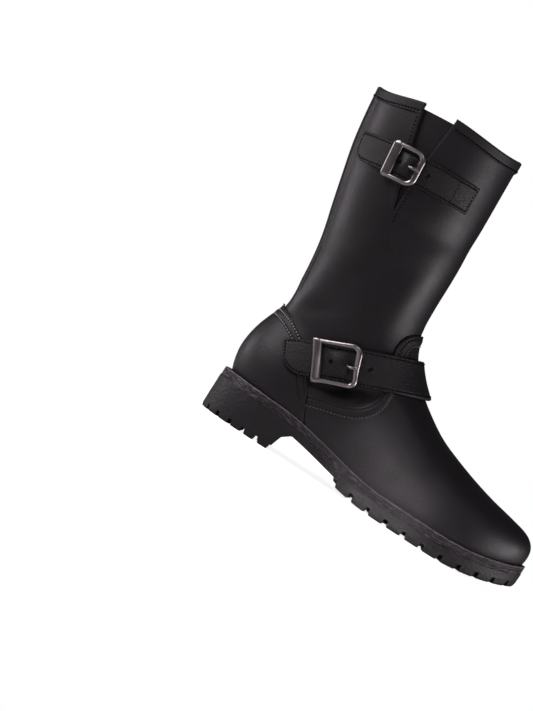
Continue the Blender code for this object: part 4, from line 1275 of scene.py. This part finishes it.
# Rings of a lug from its roof, which has no lift of its own, down to its face: lift over the floor and inset
LUG_RINGS = ((None, 0.0), (3.2, 0.15), (1.5, 0.7), (0.4, 1.2), (0.0, 1.7))


def lug_solids(plans, floor, roof, start):
    """Lugs as stacked copies of their plans, drawn in at the bottom edge so that it is rounded."""
    middle = plans.mean(axis=1, keepdims=True)
    lean = np.linalg.norm(plans - middle, axis=-1).mean(axis=1)[:, None, None]
    rings = []
    for lift, inset in LUG_RINGS:
        plan = middle + (plans - middle) * (1 - inset / lean)
        height = roof(plan[..., 0]) if lift is None else floor(plan[..., 0]) + lift
        rings.append(np.concatenate((plan, height[..., None]), axis=-1))
    points = np.stack(rings, axis=1)
    count, profile = points.shape[0], points.shape[2]
    template = tube_faces(len(LUG_RINGS), profile)
    return points.reshape(-1, 3), copied_faces(template, count, len(LUG_RINGS) * profile, start)


# Rows of the heel's block, and the share of its height at which the breast's hollow starts
HEEL_ROWS = 16
HEEL_SHOULDER = 0.7


def heel_block(start):
    """Heel from the shank down to its lugs: the outline's rear part with a hollow breast, drawn in below."""
    breast = outline_angle(HEEL_BREAST)
    angle = np.linspace(breast, 2 * math.pi - breast, 120)
    x, y = sole_outline(angle, 0.02)
    straight = np.linspace(0, 1, 30)[1:-1]
    x = np.concatenate((x, np.full(len(straight), HEEL_BREAST)))
    y = np.concatenate((y, y[-1] + straight * (y[0] - y[-1])))
    filled = x + BREAST_FILLET * np.clip((x - HEEL_END) / (HEEL_BREAST - HEEL_END), 0, 1)
    top = outsole_top(filled) - OUTSOLE_BODY + JOIN
    shoulder = top - JOIN - BREAST_FILLET * 0.5
    shoulder_x = (x + filled) / 2 - 3 * (filled - x) / BREAST_FILLET
    rows = []
    for at in np.linspace(0, 1, HEEL_ROWS):
        foot, bend, roof = (np.interp(at, (0.0, HEEL_SHOULDER, 1.0), peak) for peak in np.eye(3))
        plan_x = foot * x * HEEL_LENGTH_SHARE + bend * shoulder_x + roof * filled
        plan_y = y * (HEEL_WIDTH_SHARE + (1 - HEEL_WIDTH_SHARE) * min(at / HEEL_SHOULDER, 1.0))
        height = foot * HEEL_LUG_DEPTH + bend * shoulder + roof * top
        rows.append(np.column_stack((plan_x, plan_y, height)))
    return np.concatenate(rows), tube_faces(HEEL_ROWS, len(x), start=start)


def build_sole():
    """Outsole with heel and lugs as one moulded unit, then the midsole and the welt over it."""
    body, faces, _ = slab(0.0, outsole_top, OUTSOLE_BODY, OUTSOLE_CORNER)
    parts = [body]

    def total():
        return sum(len(part) for part in parts)

    block, more = heel_block(total())
    parts.append(block)
    faces += more
    waist = outline_angle(LUG_WAIST)
    forefoot = perimeter(waist, -waist, lambda x, y: (x, y))
    breast = outline_angle(HEEL_BREAST)
    heel = perimeter(
        breast, 2 * math.pi - breast, lambda x, y: (x * HEEL_LENGTH_SHARE, y * HEEL_WIDTH_SHARE)
    )
    lugs = edge_lugs(forefoot, LUG_PITCH, LUG_GROOVE, LUG_LENGTH, WAIST_LUG_SHORTER)
    heel_lugs = edge_lugs(heel, HEEL_LUG_PITCH, HEEL_LUG_GROOVE, HEEL_LUG_LENGTH, 0.0)
    treads = (
        (lugs, lug_floor, LUG_DEPTH),
        (cross_lugs(FOREFOOT_CROSSES), lug_floor, LUG_DEPTH),
        (heel_lugs, np.zeros_like, HEEL_LUG_DEPTH),
        (cross_lugs(HEEL_CROSSES), np.zeros_like, HEEL_LUG_DEPTH),
    )
    for plans, floor, depth in treads:
        solids, more = lug_solids(plans, floor, lambda x: floor(x) + depth + JOIN, total())
        parts.append(solids)
        faces += more
    points = np.concatenate(parts)
    add_piece("outsole_rubber", points, faces, finish("moulded_rubber"), ("outsole",))
    thick = MIDSOLE_THICK + GAP - THIN_GAP
    body, faces, heights = slab(MIDSOLE_EDGE_INSET, foot_line, thick, MIDSOLE_CORNER, MIDSOLE_RIDGE)
    add_piece("midsole_edge", body, faces, finish("rough_cut_welt"), ("midsole",), heights)
    build_welt()


# Welt: its rim's radius, its side ridges, its stitch channel's depth, and as shares of the welt's width the
# start of its flat top and the place and width of the channel
WELT_RIM = 1.0
WELT_RIDGE = 0.2
WELT_RIDGE_PITCH = 1.5
WELT_CHANNEL = 0.7
WELT_TOP_START = 0.3
WELT_STITCH_SHARE = 0.55
WELT_CHANNEL_SHARE = 0.13


def welt_plan(angle):
    """Outer and inner plan of the welt, between the sole's edge and the overlays."""
    outer = np.stack(sole_outline(angle, WELT_INSET), axis=-1)
    clearance = OVERLAY_GAP + OVERLAY_THICK + GAP
    foot = upper_offset(angle / (2 * math.pi), np.full(angle.shape, WELT_FOOT_LEVEL), clearance)
    return outer, foot[:, :2]


def build_welt():
    """Welt: a strip section carried round the foot, with a rounded rim, side ridges and a stitch channel."""
    angle = circle(520)
    outer, inner = welt_plan(angle)
    span = np.linalg.norm(inner - outer, axis=1)
    top, low = GAP + WELT_THICK, THIN_GAP
    sides = np.linspace(low, top - WELT_RIM, 13)
    arc = np.linspace(0, math.pi / 2, 6)[1:]
    across = np.linspace(WELT_TOP_START, 1, 12)
    ridge = WELT_RIDGE * broken(angle, (11, 29, 67), (0.4, 0.0, 0.0)) / span
    share = np.concatenate((
        np.outer(ridge, 1 + np.sin(2 * math.pi * sides / WELT_RIDGE_PITCH)),
        np.outer(WELT_RIM / span, 1 - np.cos(arc)),
        np.tile((*across, 1.0), (len(angle), 1)),
    ), axis=1)
    channel = WELT_CHANNEL * bell(across - WELT_STITCH_SHARE, WELT_CHANNEL_SHARE)
    lift = np.concatenate((sides, top - WELT_RIM + WELT_RIM * np.sin(arc), top - channel, (low,)))
    lift = np.broadcast_to(lift, share.shape)
    plan = outer[:, None] + share[..., None] * (inner - outer)[:, None]
    points = np.concatenate((plan, (foot_line(plan[..., 0]) + lift)[..., None]), axis=-1)
    faces = tube_faces(len(angle), points.shape[1], ring=True)
    add_piece("welt_strip", points, faces, finish("rough_cut_welt"), ("welt",), lift)


# Rounding of the footbed's edges: how far they drop and how late, as a power
INSOLE_EDGE_DROP = 0.8
INSOLE_EDGE_POWER = 8
INSOLE_COLUMNS = 31


def build_insole():
    """Footbed inside the wall: rows from the outer to the inner side, rounded at both edges."""
    angle = np.linspace(*SLAB_ANGLES, 120)
    clearance = UPPER_WALL + 3 * GAP
    sides = [upper_offset(sign * angle / (2 * math.pi), 0.0, -clearance) for sign in (1, -1)]
    share = np.linspace(0, 1, INSOLE_COLUMNS)[None, :, None]
    plan = sides[0][:, None, :2] + share * (sides[1] - sides[0])[:, None, :2]
    floor = (foot_line(plan[:, :1, 0]) + GAP) * np.ones((1, INSOLE_COLUMNS))
    bend = np.abs(2 * share[..., 0] - 1) ** INSOLE_EDGE_POWER
    round_off = INSOLE_EDGE_DROP * (1 - np.sqrt(1 - bend))
    top = np.concatenate((plan, (floor + INSOLE_THICK - round_off)[..., None]), axis=-1)
    bottom = np.concatenate((plan, floor[..., None]), axis=-1)
    shell("footbed", top, bottom, finish("woven_lining"), ("insole",))


# Thread

# Rows beside the slit, by side (1 behind it, -1 in front), first and last level, and their distance from it
SLIT_ROWS = ((1, 15.3, TOP_LEVEL - 0.4), (-1, SLIT_TIP_LEVEL - 0.3, 15.1))
SLIT_ROW_TURN = 0.0085
# How far the collar's row stops short of the slit
RIM_ROW_MARGIN = 0.004
# Rows across each strap, by the distance from its sewn end
SEWN_ROWS = (2.5, 17.0)
# The straps' stitches beside the others', and the welt's by their pitch
STRAP_PITCH_SHARE = 0.92
STRAP_STITCH_SHARE = 0.9
WELT_STITCH_LENGTH = 0.82
# Share of the inset that counts as too near the outline
NEAR_SHARE = 0.97
# How deep stitches lie in leather, in the straps and in the welt's channel
STITCH_SINK = 0.05
STRAP_STITCH_SINK = 0.1
WELT_STITCH_SINK = 0.35


def on_strap_face(strap, where, across):
    """Points and normals on a strap's face at lengths along it and distances across its middle line."""
    turns, length, _ = strap_turns(strap)
    turn = np.interp(where, length, turns)
    at, level = strap_place(strap, turn, across)
    normal = upper_normal(at, level)
    out = strap_lift(strap, turn) + STRAP_THICK - STRAP_STITCH_SINK
    return upper_point(at, level) + out[:, None] * normal, normal


def strap_stitch_path(row):
    """Path round a strap's face, the stitch inset in from its lower edge, its tip and its upper edge. Points
    of the moved outline that come nearer than the inset to the outline itself are dropped."""
    strap = row["strap"]
    total = strap_turns(strap)[1][-1]
    where = total - np.linspace(math.sqrt(total - STITCH_INSET), 0, 400) ** 2
    low, high = strap_edges(strap, where, total)
    end = np.linspace(low[-1], high[-1], 60)[1:-1]
    outline = np.concatenate((
        np.column_stack((where, low)), np.column_stack((np.full(len(end), total), end)),
        np.column_stack((where, high))[::-1],
    ))
    heading = unit(np.gradient(outline, axis=0))
    moved = outline + STITCH_INSET * np.column_stack((-heading[:, 1], heading[:, 0]))
    nearest = np.linalg.norm(moved[:, None] - outline[None], axis=-1).min(axis=1)
    moved = moved[nearest > NEAR_SHARE * STITCH_INSET]
    return on_strap_face(strap, moved[:, 0], moved[:, 1])


def strap_cross_path(row, from_end):
    """Path across a strap near its sewn end."""
    half = row["strap"]["width"] / 2 - STITCH_INSET
    return on_strap_face(row["strap"], np.full(40, from_end), np.linspace(-half, half, 40))


def build_stitches():
    """All seams as joined rows of capsules, each row on the piece that it sews."""
    sizes = bpy.context.scene.boot_sizes
    pitch, length, width = (v / MM for v in (sizes.stitch_pitch, sizes.stitch_length, sizes.thread))
    rows = dict(waxed_thread=[], pale_thread=[], black_thread=[])
    face = OVERLAY_GAP + OVERLAY_THICK - STITCH_SINK
    for overlay in OVERLAYS:
        for inset, _, thread in overlay["rows"]:
            path = edge_row(
                overlay["edge"], overlay["middle"], inset, overlay["inward"], face, overlay["lowest"]
            )
            rows[thread].append(stitch_row(*path, pitch, length, width))
    for side, first, last in SLIT_ROWS:
        level = np.linspace(first, last, 60)
        turn = SLIT_TURN + side * (slit_half_turn(level) + SLIT_ROW_TURN)
        path = (upper_offset(turn, level, shaft_relief(turn, level)), upper_normal(turn, level))
        rows["black_thread"].append(stitch_row(*path, pitch, length, width))
    half = SLIT_HALF_TURN + RIM_ROW_MARGIN
    rim, rise, normal = rim_frame(np.linspace(SLIT_TURN + half, SLIT_TURN + 1 - half, 400))
    out = GAP + BINDING_THICK - STITCH_SINK
    path = (rim + (BINDING_STITCH - BINDING_WIDTH) * rise + out * normal, normal)
    rows["black_thread"].append(stitch_row(*path, pitch, length, width))
    add_stitches("vamp_stitches", rows["waxed_thread"], "waxed_thread")
    add_stitches("counter_stitches", rows["pale_thread"], "pale_thread")
    add_stitches("shaft_stitches", rows["black_thread"], "black_thread")
    paths = [strap_stitch_path(row) for row in STRAPS]
    paths += [strap_cross_path(row, from_end) for row in STRAPS for from_end in SEWN_ROWS]
    strap_stitch = (STRAP_PITCH_SHARE * pitch, STRAP_STITCH_SHARE * length, width)
    add_stitches("strap_stitches", [stitch_row(*path, *strap_stitch) for path in paths], "black_thread")
    outer, inner = welt_plan(np.linspace(0, 2 * math.pi, 900))
    plan = outer + WELT_STITCH_SHARE * (inner - outer)
    path = np.column_stack((plan, foot_line(plan[:, 0]) + GAP + WELT_THICK - WELT_STITCH_SINK))
    up = np.tile((0.0, 0.0, 1.0), (len(path), 1))
    pitch, width = sizes.welt_pitch / MM, sizes.welt_thread / MM
    laid = stitch_row(path, up, pitch, WELT_STITCH_LENGTH * pitch, width)
    add_stitches("welt_stitches", [laid], "waxed_thread")


# Stage

# The floor glows to the camera alone, as a lit table does, so that it stays white away from the lights
FLOOR_GLOW = 0.9
LIGHT_TINT = (1.0, 0.93, 0.98)
LIGHT_FLOOR = 0.05
# Each light's place is right, up and towards the camera in the picture; it faces a point right and up of the
# middle, and a grid narrows its beam to the spread in degrees
OPEN_BEAM = dict(aim=(0.0, 0.0), spread=180.0)
LIGHTS = (
    dict(OPEN_BEAM, name="overhead_softbox", place=(-0.45, 1.35, 0.55), size=0.8, watts=17.0),
    dict(OPEN_BEAM, name="left_softbox", place=(-1.15, 0.45, -0.30), size=0.6, watts=5.0),
    dict(OPEN_BEAM, name="right_softbox", place=(1.15, -0.72, 0.30), size=0.7, watts=12.0),
    dict(OPEN_BEAM, name="front_right_softbox", place=(0.45, 0.50, 1.10), size=0.5, watts=1.7),
    dict(
        name="vamp_softbox", place=(-0.25, -0.05, 1.0), size=0.08, watts=0.026, aim=(0.10, -0.14), spread=10.0
    ),
)
SENSOR_WIDTH = 36.0


def build_stage():
    """Pale floor, white surround, soft lights set about the picture's own axes, and the rolled camera."""
    sizes, colours = bpy.context.scene.boot_sizes, bpy.context.scene.boot_colours
    scene = bpy.context.scene
    scene.view_settings.view_transform = "Standard"
    roll, lift = sizes.camera_roll, sizes.camera_lift
    target = (np.array((sizes.aim_x / MM, 0.0, sizes.aim_z / MM)) + BOOT_PLACE) * MM
    back = np.array((0.0, -math.cos(lift), math.sin(lift)))
    level_up = np.array((0.0, math.sin(lift), math.cos(lift)))
    level_right = np.array((1.0, 0.0, 0.0))
    right = math.cos(roll) * level_right + math.sin(roll) * level_up
    up = -math.sin(roll) * level_right + math.cos(roll) * level_up
    lens = bpy.data.cameras.new("photo_view")
    lens.lens = sizes.lens
    lens.sensor_width = SENSOR_WIDTH
    camera = bpy.data.objects.new("photo_view", lens)
    spot = target + back * sizes.camera_distance
    turned = np.eye(4)
    turned[:3, 0], turned[:3, 1], turned[:3, 2], turned[:3, 3] = right, up, back, spot
    camera.matrix_world = Matrix(turned.tolist())
    scene.collection.objects.link(camera)
    scene.camera = camera
    for row in LIGHTS:
        lamp = bpy.data.lights.new(row["name"], "AREA")
        lamp.shape = "DISK"
        lamp.size = row["size"]
        lamp.energy = row["watts"]
        lamp.spread = math.radians(row["spread"])
        lamp.color = LIGHT_TINT
        holder = bpy.data.objects.new(row["name"], lamp)
        place = target + np.array(row["place"]) @ np.stack((right, up, back))
        place[2] = max(place[2], LIGHT_FLOOR)
        faced = target + np.array(row["aim"]) @ np.stack((right, up))
        holder.location = place.tolist()
        holder.rotation_euler = Vector(place - faced).to_track_quat("Z", "Y").to_euler()
        scene.collection.objects.link(holder)
    build_floor(colours.floor)
    world = bpy.data.worlds.new("white_surround")
    world.use_nodes = True
    scene.world = world
    tree = world.node_tree
    tree.nodes.clear()
    seen = add_node(tree, "ShaderNodeBackground", {"Color": (1, 1, 1, 1), "Strength": 1.0})
    lit = add_node(tree, "ShaderNodeBackground", {"Color": (1, 1, 1, 1), "Strength": sizes.fill})
    path = add_node(tree, "ShaderNodeLightPath")
    mixed = add_node(
        tree,
        "ShaderNodeMixShader",
        {0: path.outputs["Is Camera Ray"], 1: lit.outputs[0], 2: seen.outputs[0]},
    )
    add_node(tree, "ShaderNodeOutputWorld", {"Surface": mixed.outputs[0]})


FLOOR_RADIUS = 0.62
FLOOR_RINGS = 24
FLOOR_SIDES = 96


def build_floor(colour):
    """Round matt floor in rings about the boot, wide enough to leave the picture."""
    angle = circle(FLOOR_SIDES)
    radius = np.linspace(0, 1, FLOOR_RINGS)[:, None] ** 2 * FLOOR_RADIUS
    points = np.stack(
        np.broadcast_arrays(radius * np.cos(angle), radius * np.sin(angle), 0.0), axis=-1
    ).reshape(-1, 3)
    first = np.arange(FLOOR_RINGS - 1) * FLOOR_SIDES
    last = first + FLOOR_SIDES - 1
    closing = np.stack((last, first, first + FLOOR_SIDES, last + FLOOR_SIDES), axis=-1)
    faces = np.concatenate((grid_faces(FLOOR_RINGS, FLOOR_SIDES), closing))
    mesh = bpy.data.meshes.new("studio_floor")
    mesh.from_pydata(points.tolist(), [], faces.tolist())
    shape = bmesh.new()
    shape.from_mesh(mesh)
    bmesh.ops.remove_doubles(shape, verts=shape.verts, dist=1e-6)
    bmesh.ops.recalc_face_normals(shape, faces=shape.faces)
    shape.to_mesh(mesh)
    shape.free()
    floor = bpy.data.objects.new("studio_floor", mesh)
    bpy.context.scene.collection.objects.link(floor)
    made, tree, shader, place = new_finish("matt_paper", 0.9, specular=0.2)
    tooth = add_node(tree, "ShaderNodeTexNoise", {"Vector": place, "Scale": 1 / TOOTH_SIZE, "Detail": 2.0})
    stops = tones(colour, (0.0, 0.99), (1.0, 1.0))
    tint = add_node(tree, "ShaderNodeValToRGB", {"Fac": tooth.outputs["Fac"]}, ramp=stops)
    seen = add_node(tree, "ShaderNodeLightPath").outputs["Is Camera Ray"]
    glow = add_node(tree, "ShaderNodeMath", {0: seen, 1: FLOOR_GLOW}, operation="MULTIPLY")
    looks = {"Emission Color": (1.0, 1.0, 1.0, 1.0), "Emission Strength": glow.outputs[0]}
    fill(tree, shader, {"Base Color": tint.outputs["Color"], **looks})
    mesh.materials.append(made)


# Add-on

class BootSizes(bpy.types.PropertyGroup):
    """Sizes that a user would change."""

    grain: bpy.props.FloatProperty(
        name="Leather grain", description="Width of a pebble of the leather's grain", default=0.0011,
        unit="LENGTH", precision=5,
    )
    stitch_pitch: bpy.props.FloatProperty(
        name="Stitch pitch", description="Distance from one stitch to the next", default=0.0027,
        unit="LENGTH", precision=5,
    )
    stitch_length: bpy.props.FloatProperty(
        name="Stitch length", description="Length of thread that shows of each stitch", default=0.0018,
        unit="LENGTH", precision=5,
    )
    thread: bpy.props.FloatProperty(
        name="Thread", description="Thickness of the seams' thread", default=0.0012,
        unit="LENGTH", precision=5,
    )
    welt_pitch: bpy.props.FloatProperty(
        name="Welt stitch pitch", description="Distance between the welt's stitches", default=0.0048,
        unit="LENGTH", precision=5,
    )
    welt_thread: bpy.props.FloatProperty(
        name="Welt thread", description="Thickness of the welt's thread", default=0.0013,
        unit="LENGTH", precision=5,
    )
    camera_roll: bpy.props.FloatProperty(
        name="Camera roll", description="Turn of the camera about its view", default=math.radians(33.0),
        subtype="ANGLE",
    )
    camera_lift: bpy.props.FloatProperty(
        name="Camera lift", description="Angle of the camera above the floor", default=math.radians(1.0),
        subtype="ANGLE",
    )
    camera_distance: bpy.props.FloatProperty(
        name="Camera distance", description="Distance of the camera from its aim", default=1.6, unit="LENGTH"
    )
    lens: bpy.props.FloatProperty(
        name="Lens", description="Focal length of the camera in millimetres", default=105.6
    )
    aim_x: bpy.props.FloatProperty(
        name="Aim along", description="Place of the picture's middle in front of the heel", default=0.0160,
        unit="LENGTH", precision=4,
    )
    aim_z: bpy.props.FloatProperty(
        name="Aim height", description="Height of the picture's middle", default=0.0584,
        unit="LENGTH", precision=4,
    )
    fill: bpy.props.FloatProperty(
        name="Fill", description="Strength of the surround's even light", default=0.04, min=0.0
    )


class BootColours(bpy.types.PropertyGroup):
    """Colours that a user would change."""

    leather: bpy.props.FloatVectorProperty(
        name="Leather", description="Colour of the shaft and its overlays", default=linear("120f12"),
        subtype="COLOR",
    )
    strap: bpy.props.FloatVectorProperty(
        name="Straps", description="Colour of the two straps", default=linear("100e10"), subtype="COLOR"
    )
    trim: bpy.props.FloatVectorProperty(
        name="Trim", description="Colour of the collar's strip and the gusset", default=linear("110e11"),
        subtype="COLOR",
    )
    rubber: bpy.props.FloatVectorProperty(
        name="Rubber", description="Colour of the moulded sole", default=linear("110f11"), subtype="COLOR"
    )
    welt: bpy.props.FloatVectorProperty(
        name="Welt", description="Colour of the welt and the midsole's edge", default=linear("161315"),
        subtype="COLOR",
    )
    # Painted glints: a mid grey, lighter than the black thread that these stitches stand for
    thread: bpy.props.FloatVectorProperty(
        name="Thread", description="Colour of the vamp's and the welt's stitches", default=linear("4e494b"),
        subtype="COLOR",
    )
    # Painted highlights: pale grey, though the counter's thread is black
    counter_thread_glint: bpy.props.FloatVectorProperty(
        name="Counter thread", description="Colour of the counter's stitches", default=linear("8c8588"),
        subtype="COLOR",
    )
    strap_thread: bpy.props.FloatVectorProperty(
        name="Strap thread", description="Colour of the straps' and the collar's stitches",
        default=linear("0b0a0b"), subtype="COLOR",
    )
    steel: bpy.props.FloatVectorProperty(
        name="Steel", description="Colour of the buckles", default=linear("8b8684"), subtype="COLOR"
    )
    lining: bpy.props.FloatVectorProperty(
        name="Lining", description="Colour of the lining and footbed", default=linear("302c2c"),
        subtype="COLOR",
    )
    floor: bpy.props.FloatVectorProperty(
        name="Floor", description="Colour of the studio floor", default=linear("f4f4f4"), subtype="COLOR"
    )


class BOOT_OT_upper(bpy.types.Operator):
    """Build the shaft's leather and lining"""

    bl_idname = "boot.upper"
    bl_label = "Shaft and lining"

    def execute(self, context):
        build_upper()
        return {"FINISHED"}


class BOOT_OT_overlays(bpy.types.Operator):
    """Build the vamp and the heel counter"""

    bl_idname = "boot.overlays"
    bl_label = "Vamp and counter"

    def execute(self, context):
        build_overlays()
        return {"FINISHED"}


class BOOT_OT_collar(bpy.types.Operator):
    """Build the gusset and the collar's folded strip"""

    bl_idname = "boot.collar"
    bl_label = "Gusset and collar"

    def execute(self, context):
        build_collar()
        return {"FINISHED"}


class BOOT_OT_straps(bpy.types.Operator):
    """Build the ankle strap and the top strap"""

    bl_idname = "boot.straps"
    bl_label = "Straps"

    def execute(self, context):
        build_straps()
        return {"FINISHED"}


class BOOT_OT_buckles(bpy.types.Operator):
    """Build the buckle frames and prongs"""

    bl_idname = "boot.buckles"
    bl_label = "Buckles"

    def execute(self, context):
        build_buckles()
        return {"FINISHED"}


class BOOT_OT_sole(bpy.types.Operator):
    """Build the outsole, midsole and welt"""

    bl_idname = "boot.sole"
    bl_label = "Sole and welt"

    def execute(self, context):
        build_sole()
        return {"FINISHED"}


class BOOT_OT_insole(bpy.types.Operator):
    """Build the footbed"""

    bl_idname = "boot.insole"
    bl_label = "Footbed"

    def execute(self, context):
        build_insole()
        return {"FINISHED"}


class BOOT_OT_stitches(bpy.types.Operator):
    """Build the seams' and the welt's stitches"""

    bl_idname = "boot.stitches"
    bl_label = "Stitches"

    def execute(self, context):
        build_stitches()
        return {"FINISHED"}


class BOOT_OT_stage(bpy.types.Operator):
    """Build the floor, lights and camera"""

    bl_idname = "boot.stage"
    bl_label = "Stage"

    def execute(self, context):
        build_stage()
        return {"FINISHED"}


OPERATORS = (
    BOOT_OT_upper, BOOT_OT_overlays, BOOT_OT_collar, BOOT_OT_straps, BOOT_OT_buckles, BOOT_OT_sole,
    BOOT_OT_insole, BOOT_OT_stitches, BOOT_OT_stage,
)


class VIEW3D_PT_boot(bpy.types.Panel):
    """Sidebar panel with the boot's sizes, colours and pieces"""

    bl_label = "Boot"
    bl_space_type = "VIEW_3D"
    bl_region_type = "UI"
    bl_category = "Boot"

    def draw(self, context):
        for group in (context.scene.boot_sizes, context.scene.boot_colours):
            for name in group.__annotations__:
                self.layout.prop(group, name)
        for operator in OPERATORS:
            self.layout.operator(operator.bl_idname)


CLASSES = (BootSizes, BootColours, *OPERATORS, VIEW3D_PT_boot)


def register():
    for made in CLASSES:
        bpy.utils.register_class(made)
    bpy.types.Scene.boot_sizes = bpy.props.PointerProperty(type=BootSizes)
    bpy.types.Scene.boot_colours = bpy.props.PointerProperty(type=BootColours)


def unregister():
    del bpy.types.Scene.boot_colours
    del bpy.types.Scene.boot_sizes
    for made in reversed(CLASSES):
        bpy.utils.unregister_class(made)


def main():
    register()
    for operator in OPERATORS:
        getattr(bpy.ops.boot, operator.bl_idname.split(".")[1])()


if __name__ == "__main__":
    main()
